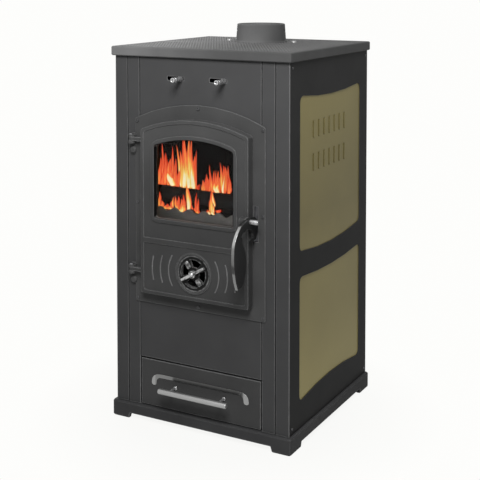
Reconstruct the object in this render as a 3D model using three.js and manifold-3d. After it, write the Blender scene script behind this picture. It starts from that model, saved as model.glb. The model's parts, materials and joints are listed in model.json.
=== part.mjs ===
// A tall cast iron wood stove, about 1.1 m high, in millimetres with +Z up.
// It stands on a notched plinth. A folded steel casing with olive side inlays wraps a welded
// firebox. The arched cast door swings on two pins at its left and carries a glass, a rope seal,
// a turning air spinner and a lifting lever handle. A storage drawer slides out at the bottom,
// and two chrome rods in the upper front slide sideways to set the air.
// The front faces -Y. The origin is on the floor, under the middle of the whole stove.

import * as THREE from "three";
import { mergeVertices } from "three/addons/utils/BufferGeometryUtils.js";
import Module from "manifold-3d";

const wasm = await Module();
wasm.setup();

// Clearances and faceting
const gap = 0.3; // between pieces that rest on each other
const overrun = 2; // how far a cut runs past the faces it opens
const weld = 0.0001; // distance at which corner points are one point
const curveSteps = 4; // steps in a free curve
const cornerSteps = 2; // steps in a small corner, and a quarter of those in an arch
const softSteps = 2; // steps in the rounding of the edges that catch the light
const roundSides = 12;
const screwSides = 8;
const ductSides = 32;
const cornerShare = 0.3; // corner of a small outline, as a share of its width
const edgeShare = 0.9; // rounding of a raised edge, as a share of its rise
const headShare = 0.7; // flat on top of a screw head, as a share of its radius

// Top plate
const stoveTop = 1053; // height of its upper face
const topOverhang = 8.5; // beyond the casing at each side
const topDepth = 544;
const topEdge = 26;
const topThickness = 8;
const topSkirt = 5;
const topCorner = 6;
const topRound = 2.5;
const topScrewFromCollar = 33.5;
const topScrewHead = 8;
const topScrewHeadHeight = 5;
const topScrewShank = 4;
const topScrewLength = 18;

// Flue collar for a 150 mm pipe
const collarRadius = 74.5;
const collarTopRadius = 71;
const collarHeight = 54;
const collarBore = 64;
const collarRound = 2;
const collarFoot = 3; // height and reach of the swelling at its foot
const spigotWall = 3.7;
const spigotTail = 6; // how far the spigot hangs below the firebox roof
const collarFromRear = 171; // its centre to the top plate's rear edge

// Casing
const casingWidth = 545;
const casingInset = 11; // top plate's overhang at the front
const casingRearInset = 6; // and at the rear
const sheet = 2;
const stripReturn = 22;
const panelReturn = 12;
const postWidth = 40.5;
const stileWidth = 38.5;
const groove = 1.5;
const foldRound = 1;

// Plinth and floor
const plinthStandout = 9; // beyond the casing at each side
const plinthHeight = 45.5;
const plinthWall = 14;
const plinthLedge = 44;
const plinthTop = 9;
const plinthRound = 3.5;
const plinthCorner = 8;
const footWidth = 54;
const footDepth = 64;
const notchHeight = 16;
const notchSlope = 5;

// Side windows and their inlays
const windowFromFront = 61.5;
const windowFromRear = 55;
const windowFromTop = 119;
const windowFromPlinth = 74.5;
const waistBottom = 453; // of the black band between the two windows
const waistTop = 521;
const inlaySheet = 1.5;
const inlayMargin = 22;
const louvreCount = 7;
const louvrePitch = 34.8;
const louvreFromWindow = 88;
const louvreHeight = 46;
const louvreDrops = [187, 97.5]; // window's top edge to the middle of each row
const louvreSlot = 3;
const louvreReach = 9;
const louvreRise = 2.2;

// Back panel vents
const ventCount = 6;
const ventPitch = 22;
const ventLength = 130;
const ventHeight = 5;
const ventFromTop = 200;
const ventOffset = 105;

// Door and the frame round it
const doorBottom = 375;
const doorRise = 33.5; // of its arch
const doorCorner = 7;
const doorLip = 4;
const ropeWidth = 10.4;
const innerLip = 4;
const doorClearance = 1.5; // running gap between the leaf and the frame
const doorField = 26; // from the frame's face to the flat of the door
const doorSkin = 9;
const doorRound = 3.5;
const rimWidth = 11;
const rimRise = 3;
const ropeRise = 2; // height of the frame's sealing ridge
const ridgeWidth = 4.5;
const frameFromCasing = 68.5; // casing's side to the frame's side
const frameFromTop = 151.5; // top plate's face to the frame's apex
const frameSide = 35.5; // frame's side to the door's
const frameHead = 38; // frame's apex to the door's
const frameFoot = 35; // frame's bottom edge to the door's
const frameRise = 47; // of its arch
const frameCorner = 5;
const frameProud = 4;
const frameRound = 1;
const openingInset = 21; // door outline to the clear opening
const mouthWall = 6;

// Window in the door
const glassFromSide = 45; // door's side to the window's
const glassFromHead = 53.5; // door's apex to the window's
const glassFromFoot = 213; // door's bottom edge to the window's
const windowRise = 22; // of its arch
const windowCorner = 7;
const beadWidth = 12;
const beadRise = 4;
const glassMargin = 11;
const gasketThickness = 2;
const glassThickness = 4;
const retainerThickness = 2;
const retainerWidth = 14;

// Ornament on the lower half of the door
const bandBelowSill = 55.5;
const bandWidth = 16;
const arcHalfHeights = [42, 37, 33];
const arcFromSeat = 20.5; // spinner's seat to the innermost arc
const arcFromRim = 26; // outermost arc to the door's rim
const arcWidth = 3;
const arcRise = 1.5;

// Air spinner
const spinnerFromFoot = 74;
const spinnerRadius = 48.5;
const spinnerThickness = 2.5;
const spinnerSink = 4;
const spinnerRing = 10;
const portInner = 17;
const portOuter = 38;
const portSpread = 0.5; // half angle of each port, radians
const portTurn = 1.37; // where the first port stands, radians
const lipWidth = 2;
const lipRise = 2.5;
const padLength = 21;
const padWidth = 12.5;
const padRise = 5;
const padRadius = 28;
const padTurn = 2.22;
const padRound = 1;
const gripLength = 80;
const gripWidth = 8;
const gripRise = 11;
const gripTurn = 0.52;
const hubRadius = 10;
const boltHead = 5;
const boltHeadHeight = 3;
const boltShank = 2.5;
const boltLength = 26;

// Frame screws
const screwHead = 5;
const screwHeadHeight = 2.2;
const screwShank = 2.5;
const screwInset = 7; // from the frame's side edge
const screwFromEnd = 10; // from its bottom edge and its apex
const screwAbovePivot = 7; // middle pair, from the lever's pivot

// Hinges
const hingeReach = 40; // door edge to the hinge axis
const hingeForward = 12; // frame face to the hinge axis
const hingeFromFoot = 58;
const hingeFromShoulder = 32;
const knuckleRadius = 7.5;
const knuckleHeight = 11;
const cheekRadius = 9;
const cheekHeight = 6;
const hingePlay = 0.6;
const pinRadius = 4;
const pinHead = 6;
const pinHeadHeight = 3;
const armThickness = 7;
const earReach = 21;
const earAbove = 15;
const earBelow = 44;
const bossRadius = 10;
const bossHeight = 7;
const bossDrop = 32;

// Latch
const slotHalfWidth = 7.25;
const slotBelowPivot = 62;
const slotAbovePivot = 33;
const slotFromDoor = 7.75; // door edge to the middle of the slot
const keeperWall = 2;
const keeperDepth = 11;

// Lever handle, measured from its pivot
const pivotFromFoot = 238; // door's bottom edge to the pivot
const pivotForward = 38;
const leverReach = 87;
const leverDrop = 165;
const leverFromDoor = 7; // door edge to the middle of the lever
const crescentThickness = 7.5;
const webThickness = 5;
const headThickness = 7;
const rimStrip = 2.2;
const webTopShare = 0.2; // where the web starts, as a share of the lever's drop
const hookBack = 43;
const hookDrop = 54;
const handlePinRadius = 5;
const handlePinHead = 6.5;
const handlePinEnd = 34; // door edge to the end of the pin's chrome head
const lugRadius = 9;
const lugThickness = 18.5;

// Firebox
const boxFromSide = 65.5; // casing's side to the firebox's
const boxFromRear = 39;
const boxFromFront = 16;
const boxBelowDoor = 42; // door's bottom edge to the firebox's floor
const boxBelowTop = 75; // top plate's face to the firebox's roof
const boxWall = 5;
const ledgeWidth = 14;
const bedBelowSill = 90; // window's bottom edge to the bed
const bedThickness = 6;
const grateFromBrick = 26.7;
const grateDepth = 250;
const grateThickness = 12;
const grateBearing = 20;
const grateSlotWidth = 9;
const grateSlotLength = 92;
const gratePitch = 22;
const brickThickness = 30;
const smokeSpace = 115; // bricks to the firebox's roof
const baffleThickness = 8;
const baffleFromFront = 120;
const guardThickness = 8;
const guardAboveSill = 15;
const guardHump = 7.5;
const guardHumps = 8;
const guardBehindMouth = 26;
const panFromSide = 72; // firebox's wall to the ash pan
const panFromFront = 18;
const panFromRear = 72;
const panHeight = 72;
const panWall = 2;
const panPull = 60;

// Drawer
const drawerSideGap = 2;
const drawerFoot = 3;
const drawerHeight = 130;
const drawerGap = 5;
const drawerFace = 16;
const drawerRound = 1.5;
const drawerBoxDrop = 22; // how much lower the box is than its front
const drawerFromRear = 41.7; // drawer box to the firebox's rear
const drawerWall = 1.5;
const railWidth = 27; // drawer box to the firebox's wall
const railBearing = 15;
const railGuide = 10;
const railHeight = 34;
const trimBelowTop = 37; // drawer's top edge to the band
const trimBand = 10.4;
const trimTip = 16; // width of its drooping ends
const trimDroop = 33.5; // band's top edge to its tips
const trimFromSide = 34.5;
const trimThickness = 1.6;
const barRadius = 7.5;
const barFromSide = 81.5;
const barStandoff = 39;
const barBelowTop = 67.5;
const barRound = 1;
const postRadius = 3.6;
const postFromEnd = 30; // bar's end to each post
const postTail = 4; // how far a post's thin end reaches behind the drawer's face

// Air rods in the upper front
const rodFromTop = 83;
const rodSlotLength = 53;
const rodSlotHeight = 11;
const rodSlotCentres = { left: -73.5, right: 60 };
const rodCentres = { left: -55, right: 80 };
const rodRadius = 6.5;
const rodLength = 46;
const rodNeck = 4.5;
const rodRound = 1.2;
const rodDimple = 3;
const slideHalfWidth = 12;
const slideHalfHeight = 14;

// Outline of the lever as shares of its reach (forward) and drop (down) from the pivot
const frontEdgeShares = [
  [-0.22, 0.05],
  [-0.48, 0.005],
  [-0.7, -0.075],
  [-0.86, -0.17],
  [-0.97, -0.29],
  [-1, -0.44],
  [-0.985, -0.6],
  [-0.9, -0.82],
  [-0.76, -0.99],
];
const crescentBackShares = [
  [-0.63, -0.96],
  [-0.6, -0.85],
  [-0.63, -0.6],
  [-0.65, -0.4],
  [-0.6, -0.24],
  [-0.45, -0.14],
  [-0.2, -0.07],
];
const lensBackShares = [
  [-0.5, -0.98],
  [-0.33, -0.89],
  [-0.23, -0.74],
  [-0.21, -0.58],
  [-0.29, -0.42],
  [-0.43, -0.29],
  [-0.44, -0.2],
];
// Hook as shares of its own reach back and drop
const hookShares = [
  [-0.9, -0.1],
  [-0.75, -0.42],
  [-0.4, -0.3],
  [-0.1, -0.33],
  [0.2, -0.43],
  [0.4, -0.62],
  [0.42, -0.82],
  [0.02, -0.85],
  [0, -0.94],
  [0.42, -1],
  [0.82, -0.95],
  [0.97, -0.62],
  [1, -0.3],
  [0.9, -0.02],
  [0.62, 0.14],
  [0.2, 0.2],
  [-0.2, 0.16],
];

// Finishes
const finishes = {
  frontEnamel: { color: 0x4e4e50, roughness: 0.6, metalness: 0.25 },
  sideEnamel: { color: 0x2c2c2e, roughness: 0.55, metalness: 0.25 },
  castIron: { color: 0x454547, roughness: 0.62, metalness: 0.4 },
  olive: { color: 0x7a7250, roughness: 0.5, metalness: 0.3 },
  chrome: { color: 0xd8d8da, roughness: 0.12, metalness: 1 },
  steel: { color: 0x8d8d90, roughness: 0.35, metalness: 0.9 },
  boilerPlate: { color: 0x222224, roughness: 0.8, metalness: 0.4 },
  brick: { color: 0x4a4038, roughness: 0.95, metalness: 0 },
  glass: { color: 0x1a1a1a, roughness: 0.05, metalness: 0, transparent: true, opacity: 0.35 },
  rope: { color: 0x5b5a55, roughness: 0.95, metalness: 0 },
};

// Places in the casing
const topWidth = casingWidth + 2 * topOverhang;
const plinthWidth = casingWidth + 2 * plinthStandout;
const casingHalf = casingWidth / 2;
const sideInner = casingHalf - sheet;
const postInner = casingHalf - postWidth;
const stileOuter = postInner - groove;
const stileInner = stileOuter - stileWidth;
const centreHalf = stileInner - groove;
const casingFront = casingInset - topDepth / 2;
const casingBack = casingFront + sheet; // back of the front sheets
const casingRear = topDepth / 2 - casingRearInset;
const casingFoot = plinthHeight + gap;
const casingHead = stoveTop - topThickness - gap;
const floorTop = plinthHeight + gap + sheet;
const collarBack = topDepth / 2 - collarFromRear;
const topScrewReach = collarRadius + topScrewFromCollar;
const windowFront = casingFront + windowFromFront;
const windowBack = casingRear - windowFromRear;
const upperWindow = {
  bottom: waistTop,
  top: stoveTop - windowFromTop,
  topDip: 11,
  bottomBow: -13,
  corner: 20,
};
const lowerWindow = {
  bottom: plinthHeight + windowFromPlinth,
  top: waistBottom,
  topDip: 10,
  bottomBow: 14,
  corner: 18,
};

// Places in the door and its frame
const frameFace = casingFront - frameProud;
const frameBack = casingFront - gap;
const frameHalfWidth = casingHalf - frameFromCasing;
const frameBottom = doorBottom - frameFoot;
const frameApex = stoveTop - frameFromTop;
const frameShoulder = frameApex - frameRise;
const doorHalfWidth = frameHalfWidth - frameSide;
const doorApex = frameApex - frameHead;
const doorShoulder = doorApex - doorRise;
const glassHalfWidth = doorHalfWidth - glassFromSide;
const windowSill = doorBottom + glassFromFoot;
const windowApex = doorApex - glassFromHead;
const windowShoulder = windowApex - windowRise;
const bandTop = windowSill - bandBelowSill;
const bandBottom = bandTop - bandWidth;
const pivotHeight = doorBottom + pivotFromFoot;
const slotBottom = pivotHeight - slotBelowPivot;
const slotTop = pivotHeight + slotAbovePivot;
const hingeHeights = [doorBottom + hingeFromFoot, doorShoulder - hingeFromShoulder];
const leverX = doorHalfWidth + leverFromDoor;
const slotX = doorHalfWidth + slotFromDoor;
const hingeX = -doorHalfWidth - hingeReach;
const leverFront = frameFace - pivotForward - leverReach;
const middle = (leverFront + topDepth / 2) / 2; // of the whole stove's depth

// Places in the firebox and the drawer
const boxFront = casingFront + boxFromFront;
const boxRear = casingRear - boxFromRear;
const boxHalf = casingHalf - boxFromSide;
const boxInner = boxHalf - boxWall;
const boxFloor = doorBottom - boxBelowDoor;
const boxRoof = stoveTop - boxBelowTop;
const bedHeight = windowSill - bedBelowSill;
const bedTop = bedHeight + bedThickness;
const bedFront = boxFront + boxWall + gap;
const bedBack = boxRear - boxWall - gap;
const bedHalf = boxInner - gap;
const bedMiddle = (bedFront + bedBack) / 2;
const brickFoot = bedTop + gap;
const brickTop = boxRoof - smokeSpace;
const grateHalf = bedHalf - brickThickness - grateFromBrick;
const drawerHalf = centreHalf - drawerSideGap;
const drawerBottom = plinthHeight + drawerFoot;
const drawerTop = drawerBottom + drawerHeight;
const drawerBoxHalf = boxInner - railWidth;
const barHalf = drawerHalf - barFromSide;
const rodHeight = stoveTop - rodFromTop;

// Turns any closed geometry into a solid that can be joined and cut
function solid(geometry) {
  const bare = geometry.index ? geometry.toNonIndexed() : geometry.clone();
  bare.deleteAttribute("normal");
  bare.deleteAttribute("uv");
  const merged = mergeVertices(bare, weld);
  const corners = merged.attributes.position.array;
  const faces = new Uint32Array(merged.index.array);
  if (signedVolume(corners, faces) < 0) {
    for (let i = 0; i < faces.length; i += 3) {
      [faces[i], faces[i + 1]] = [faces[i + 1], faces[i]];
    }
  }
  return new wasm.Manifold(new wasm.Mesh({ numProp: 3, vertProperties: corners, triVerts: faces }));
}

// A turned profile may run either way round, so its volume says which way its faces point
function signedVolume(corners, faces) {
  const a = new THREE.Vector3();
  const b = new THREE.Vector3();
  const c = new THREE.Vector3();
  let volume = 0;
  for (let i = 0; i < faces.length; i += 3) {
    a.fromArray(corners, 3 * faces[i]);
    b.fromArray(corners, 3 * faces[i + 1]);
    c.fromArray(corners, 3 * faces[i + 2]);
    volume += a.dot(b.cross(c));
  }
  return volume;
}

function piece(name, finish, form) {
  const cut = form.getMesh();
  const geometry = new THREE.BufferGeometry();
  geometry.setAttribute("position", new THREE.BufferAttribute(cut.vertProperties, 3));
  geometry.setIndex(new THREE.BufferAttribute(cut.triVerts, 1));
  geometry.computeVertexNormals();
  const mesh = new THREE.Mesh(geometry, new THREE.MeshStandardMaterial(finish));
  mesh.name = name;
  return mesh;
}

const joined = (forms) => forms.reduce((sum, form) => sum.add(form));
const cutBy = (form, cuts) => cuts.reduce((rest, cut) => rest.subtract(cut), form);

// Flat forms: an outline given a thickness, standing across X, Y or Z
function extruded(shape, depth, bevel, bevelSegments = 1) {
  const geometry = new THREE.ExtrudeGeometry(shape, {
    depth: depth - 2 * bevel,
    curveSegments: curveSteps,
    bevelEnabled: bevel > 0,
    bevelThickness: bevel,
    bevelSize: bevel,
    bevelOffset: -bevel,
    bevelSegments,
  });
  return geometry.translate(0, 0, bevel);
}

function acrossY(shape, front, back, bevel = 0, steps = 1) {
  const standing = extruded(shape, back - front, bevel, steps).rotateX(Math.PI / 2);
  return solid(standing.translate(0, back, 0));
}

function acrossX(shape, low, high, bevel = 0) {
  const standing = extruded(shape, high - low, bevel).rotateX(Math.PI / 2).rotateZ(Math.PI / 2);
  return solid(standing.translate(low, 0, 0));
}

function acrossZ(shape, low, high, bevel = 0) {
  return solid(extruded(shape, high - low, bevel).translate(0, 0, low));
}

function box(x0, x1, y0, y1, z0, z1) {
  const block = new THREE.BoxGeometry(x1 - x0, y1 - y0, z1 - z0);
  return solid(block.translate((x0 + x1) / 2, (y0 + y1) / 2, (z0 + z1) / 2));
}

// Round forms along an axis, from one place on it to another
const alongAxis = {
  x: (geometry) => geometry.rotateZ(-Math.PI / 2),
  y: (geometry) => geometry,
  z: (geometry) => geometry.rotateX(Math.PI / 2),
};

function rod(axis, radius, start, end, sides = roundSides) {
  const bar = new THREE.CylinderGeometry(radius, radius, end - start, sides);
  return solid(alongAxis[axis](bar.translate(0, (start + end) / 2, 0)));
}

function turned(axis, profile, sides = roundSides) {
  const points = profile.map(([radius, place]) => new THREE.Vector2(radius, place));
  return solid(alongAxis[axis](new THREE.LatheGeometry(points, sides)));
}

// Outlines
function rectangle(x0, x1, y0, y1, corner = 0) {
  const shape = new THREE.Shape();
  shape.moveTo(x0 + corner, y0);
  shape.lineTo(x1 - corner, y0);
  if (corner) shape.quadraticCurveTo(x1, y0, x1, y0 + corner);
  shape.lineTo(x1, y1 - corner);
  if (corner) shape.quadraticCurveTo(x1, y1, x1 - corner, y1);
  shape.lineTo(x0 + corner, y1);
  if (corner) shape.quadraticCurveTo(x0, y1, x0, y1 - corner);
  shape.lineTo(x0, y0 + corner);
  if (corner) shape.quadraticCurveTo(x0, y0, x0 + corner, y0);
  return faceted(shape);
}

function faceted(shape, steps = cornerSteps) {
  return new THREE.Shape(shape.getPoints(steps));
}

function outline(points) {
  return new THREE.Shape(points.map(([x, y]) => new THREE.Vector2(x, y)));
}

function ringOf(outer, inner) {
  outer.holes.push(inner);
  return outer;
}

// An arched plate: flat bottom, upright sides and one shallow arc on top
function archRadius(arch) {
  const rise = arch.apex - arch.shoulder;
  return (arch.halfWidth ** 2 + rise ** 2) / (2 * rise);
}

function archShape(arch) {
  const { halfWidth, bottom, shoulder, apex, corner } = arch;
  const radius = archRadius(arch);
  const centre = apex - radius;
  const start = Math.acos((halfWidth - corner) / radius);
  const shape = new THREE.Shape();
  shape.moveTo(corner - halfWidth, bottom);
  shape.lineTo(halfWidth - corner, bottom);
  shape.quadraticCurveTo(halfWidth, bottom, halfWidth, bottom + corner);
  shape.lineTo(halfWidth, shoulder - corner);
  shape.quadraticCurveTo(halfWidth, shoulder, halfWidth - corner, centre + radius * Math.sin(start));
  shape.absarc(0, centre, radius, start, Math.PI / 2, false);
  shape.absarc(0, centre, radius, Math.PI / 2, Math.PI - start, false);
  shape.quadraticCurveTo(-halfWidth, shoulder, -halfWidth, shoulder - corner);
  shape.lineTo(-halfWidth, bottom + corner);
  shape.quadraticCurveTo(-halfWidth, bottom, corner - halfWidth, bottom);
  return faceted(shape);
}

// The same arch, larger by one distance all round, or smaller when it is negative
function grown(arch, by) {
  const radius = archRadius(arch);
  const halfWidth = arch.halfWidth + by;
  const centre = arch.apex - radius;
  return {
    halfWidth,
    bottom: arch.bottom - by,
    apex: arch.apex + by,
    shoulder: centre + Math.sqrt((radius + by) ** 2 - halfWidth ** 2),
    corner: Math.max(arch.corner + by, arch.corner),
  };
}

function raised(arch, by) {
  return { ...arch, bottom: arch.bottom + by, apex: arch.apex + by, shoulder: arch.shoulder + by };
}

const doorArch = {
  halfWidth: doorHalfWidth,
  bottom: doorBottom,
  shoulder: doorShoulder,
  apex: doorApex,
  corner: doorCorner,
};
const frameArch = {
  halfWidth: frameHalfWidth,
  bottom: frameBottom,
  shoulder: frameShoulder,
  apex: frameApex,
  corner: frameCorner,
};
const windowArch = {
  halfWidth: glassHalfWidth,
  bottom: windowSill,
  shoulder: windowShoulder,
  apex: windowApex,
  corner: windowCorner,
};
const mouthArch = grown(doorArch, -openingInset);

// Screws that hold the door frame through the casing to the firebox
const screwSide = frameHalfWidth - screwInset;
const screwPlaces = [
  [-screwSide, frameShoulder - screwInset],
  [0, frameApex - screwFromEnd],
  [screwSide, frameShoulder - screwInset],
  [-screwSide, pivotHeight + screwAbovePivot],
  [screwSide, pivotHeight + screwAbovePivot],
  [-screwSide, frameBottom + screwFromEnd],
  [0, frameBottom + screwFromEnd],
  [screwSide, frameBottom + screwFromEnd],
];

function screwHoles(front, back) {
  return screwPlaces.map(([x, z]) =>
    rod("y", screwShank + gap, front - overrun, back + overrun, screwSides).translate([x, 0, z])
  );
}

// Plinth: a cast tray upside down, notched between its four feet
function basePlinth() {
  const halfX = plinthWidth / 2;
  const halfY = topDepth / 2;
  const block = acrossZ(
    rectangle(-halfX, halfX, -halfY, halfY, plinthCorner), 0, plinthHeight, plinthRound);
  const hollowX = halfX - plinthWall;
  const hollowY = halfY - plinthWall;
  const hollow = box(-hollowX, hollowX, -hollowY, hollowY, -overrun, plinthHeight - plinthTop);
  const wellX = halfX - plinthLedge;
  const wellY = halfY - plinthLedge;
  const well = box(-wellX, wellX, -wellY, wellY, 0, plinthHeight + overrun);
  const notch = (half) =>
    outline([
      [-half, -overrun],
      [half, -overrun],
      [half, 0],
      [half - notchSlope, notchHeight],
      [notchSlope - half, notchHeight],
      [-half, 0],
    ]);
  const frontNotch = acrossY(notch(halfX - footWidth), -halfY - overrun, halfY + overrun);
  const sideNotch = acrossX(notch(halfY - footDepth), -halfX - overrun, halfX + overrun);
  return cutBy(block, [hollow, well, frontNotch, sideNotch]);
}

function floorTray() {
  const halfX = boxHalf + stileWidth;
  const front = casingFront + stripReturn + sheet;
  const back = casingRear - stripReturn - sheet;
  return box(-halfX, halfX, front, back, plinthHeight + gap, floorTop);
}

// Upright strips of the front, each folded from sheet
function post(side) {
  const x = (value) => side * value;
  const profile = outline([
    [x(postInner), casingFront + foldRound],
    [x(postInner + foldRound), casingFront],
    [x(casingHalf - foldRound), casingFront],
    [x(casingHalf), casingFront + foldRound],
    [x(casingHalf), casingBack],
    [x(sideInner - gap), casingBack],
    [x(sideInner - gap), casingFront + stripReturn],
    [x(sideInner - gap - sheet), casingFront + stripReturn],
    [x(sideInner - gap - sheet), casingBack],
    [x(postInner + sheet), casingBack],
    [x(postInner + sheet), casingFront + stripReturn],
    [x(postInner), casingFront + stripReturn],
  ]);
  return acrossZ(profile, casingFoot, casingHead);
}

function stile(side) {
  const x = (value) => side * value;
  const profile = outline([
    [x(stileInner), casingFront + foldRound],
    [x(stileInner + foldRound), casingFront],
    [x(stileOuter - foldRound), casingFront],
    [x(stileOuter), casingFront + foldRound],
    [x(stileOuter), casingFront + stripReturn],
    [x(stileOuter - sheet), casingFront + stripReturn],
    [x(stileOuter - sheet), casingBack],
    [x(stileInner), casingBack],
  ]);
  return cutBy(acrossZ(profile, casingFoot, casingHead), screwHoles(casingFront, casingBack));
}

// Centre panels: a sheet with both long edges folded back
function centrePanel(bottom, top) {
  const fold = casingFront + panelReturn;
  const inner = centreHalf - sheet;
  const profile = outline([
    [-centreHalf, casingFront + foldRound],
    [foldRound - centreHalf, casingFront],
    [centreHalf - foldRound, casingFront],
    [centreHalf, casingFront + foldRound],
    [centreHalf, fold],
    [inner, fold],
    [inner, casingBack],
    [-inner, casingBack],
    [-inner, fold],
    [-centreHalf, fold],
  ]);
  return acrossZ(profile, bottom, top);
}

const panelSplit = mouthArch.bottom - mouthWall - gap;

function upperPanel() {
  const through = [casingFront - overrun, casingBack + overrun];
  const mouth = acrossY(archShape(grown(mouthArch, mouthWall + gap)), ...through);
  const [halfLength, halfHeight] = [rodSlotLength / 2, rodSlotHeight / 2];
  const reach = [rodHeight - halfHeight, rodHeight + halfHeight, rodSlotHeight * cornerShare];
  const rodSlots = Object.values(rodSlotCentres).map((centre) =>
    acrossY(rectangle(centre - halfLength, centre + halfLength, ...reach), ...through)
  );
  const keeperX = slotHalfWidth + keeperWall + gap;
  const keeperZ = keeperWall + gap;
  const latch = box(
    slotX - keeperX, slotX + keeperX, ...through, slotBottom - keeperZ, slotTop + keeperZ);
  const panel = centrePanel(panelSplit + gap, casingHead);
  return cutBy(panel, [mouth, latch, ...rodSlots, ...screwHoles(casingFront, casingBack)]);
}

function lowerPanel() {
  const panel = centrePanel(drawerTop + drawerGap, panelSplit);
  return cutBy(panel, screwHoles(casingFront, casingBack));
}

// Side panels: black sheets with two bowed windows over an olive inlay
function windowShape({ bottom, top, topDip, bottomBow, corner }) {
  const midY = (windowFront + windowBack) / 2;
  const shape = new THREE.Shape();
  shape.moveTo(windowFront, bottom + corner);
  shape.quadraticCurveTo(windowFront, bottom, windowFront + corner, bottom);
  shape.quadraticCurveTo(midY, bottom + 2 * bottomBow, windowBack - corner, bottom);
  shape.quadraticCurveTo(windowBack, bottom, windowBack, bottom + corner);
  shape.lineTo(windowBack, top - corner);
  shape.quadraticCurveTo(windowBack, top, windowBack - corner, top);
  shape.quadraticCurveTo(midY, top - 2 * topDip, windowFront + corner, top);
  shape.quadraticCurveTo(windowFront, top, windowFront, top - corner);
  return shape;
}

function sidePanel(side) {
  const [low, high] = [side * casingHalf, side * sideInner].sort((a, b) => a - b);
  const panel = box(low, high, casingBack + gap, casingRear, casingFoot, casingHead);
  const windows = [upperWindow, lowerWindow].map((place) =>
    acrossX(windowShape(place), low - overrun, high + overrun)
  );
  return cutBy(panel, windows);
}

function sideInlay(side) {
  const face = sideInner - gap;
  const back = face - inlaySheet;
  const bottom = lowerWindow.bottom - inlayMargin;
  const top = upperWindow.top + inlayMargin;
  const x = (value) => side * value;
  const order = (a, b) => [Math.min(a, b), Math.max(a, b)];
  const plate = box(
    ...order(x(back), x(face)), windowFront - inlayMargin, windowBack + inlayMargin, bottom, top);
  const slots = [];
  const hoods = [];
  for (const drop of louvreDrops) {
    const height = upperWindow.top - drop;
    for (let i = 0; i < louvreCount; i += 1) {
      const y = windowFront + louvreFromWindow + i * louvrePitch;
      const [low, high] = [height - louvreHeight / 2, height + louvreHeight / 2];
      const reach = order(x(back - overrun), x(face + overrun));
      slots.push(box(...reach, y - louvreSlot, y, low, high));
      const hood = outline([
        [x(face - inlaySheet / 2), y],
        [x(face + louvreRise), y],
        [x(face - inlaySheet / 2), y + louvreReach],
      ]);
      hoods.push(acrossZ(hood, low, high));
    }
  }
  return cutBy(joined([plate, ...hoods]), slots);
}

function rearPanel() {
  const half = sideInner - gap;
  const fold = casingRear - stripReturn;
  const inner = casingRear - sheet;
  const profile = outline([
    [-half, fold],
    [sheet - half, fold],
    [sheet - half, inner],
    [half - sheet, inner],
    [half - sheet, fold],
    [half, fold],
    [half, casingRear],
    [-half, casingRear],
  ]);
  const vents = [];
  for (let i = 0; i < ventCount; i += 1) {
    for (const side of [-1, 1]) {
      const x = side * ventOffset;
      const z = stoveTop - ventFromTop + i * ventPitch;
      const [left, right] = [x - ventLength / 2, x + ventLength / 2];
      vents.push(box(left, right, inner - overrun, casingRear + overrun, z, z + ventHeight));
    }
  }
  return cutBy(acrossZ(profile, casingFoot, casingHead), vents);
}

// Top plate with a turned-down edge, and the flue collar that drops through it
const spigotRadius = collarBore + spigotWall;
const flueHole = spigotRadius + gap;

function topPlate() {
  const [halfX, halfY] = [topWidth / 2, topDepth / 2];
  const plate = acrossZ(
    rectangle(-halfX, halfX, -halfY, halfY, topCorner), stoveTop - topEdge, stoveTop, topRound);
  const [inX, inY] = [halfX - topSkirt, halfY - topSkirt];
  const hollow = box(-inX, inX, -inY, inY, stoveTop - topEdge - overrun, stoveTop - topThickness);
  const hole = rod("z", flueHole, stoveTop - topEdge, stoveTop + overrun, ductSides);
  const screwHole = (side) =>
    rod("z", topScrewShank + gap, stoveTop - topEdge, stoveTop + overrun)
      .translate([side * topScrewReach, collarBack, 0]);
  return cutBy(plate, [hollow, hole.translate([0, collarBack, 0]), screwHole(-1), screwHole(1)]);
}

function flueCollar() {
  const foot = stoveTop + gap;
  const rim = stoveTop + collarHeight;
  const tail = boxRoof - boxWall - spigotTail;
  const profile = [
    [collarBore, tail],
    [spigotRadius, tail],
    [spigotRadius, foot],
    [collarRadius + collarFoot, foot],
    [collarRadius + collarFoot / 2, foot + collarFoot / 2],
    [collarRadius, foot + collarFoot],
    [collarTopRadius, rim - collarRound],
    [collarTopRadius - collarRound / 2, rim],
    [collarBore + collarRound, rim],
    [collarBore, rim - collarRound],
    [collarBore, tail],
  ];
  return turned("z", profile, ductSides).translate([0, collarBack, 0]);
}

function plateScrew() {
  const head = topScrewHeadHeight + gap;
  return turned("z", [
    [0, -topScrewLength],
    [topScrewShank, -topScrewLength],
    [topScrewShank, gap],
    [topScrewHead, gap],
    [topScrewHead, head - topScrewHeadHeight / 2],
    [topScrewHead * headShare, head],
    [0, head],
  ]);
}

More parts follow.
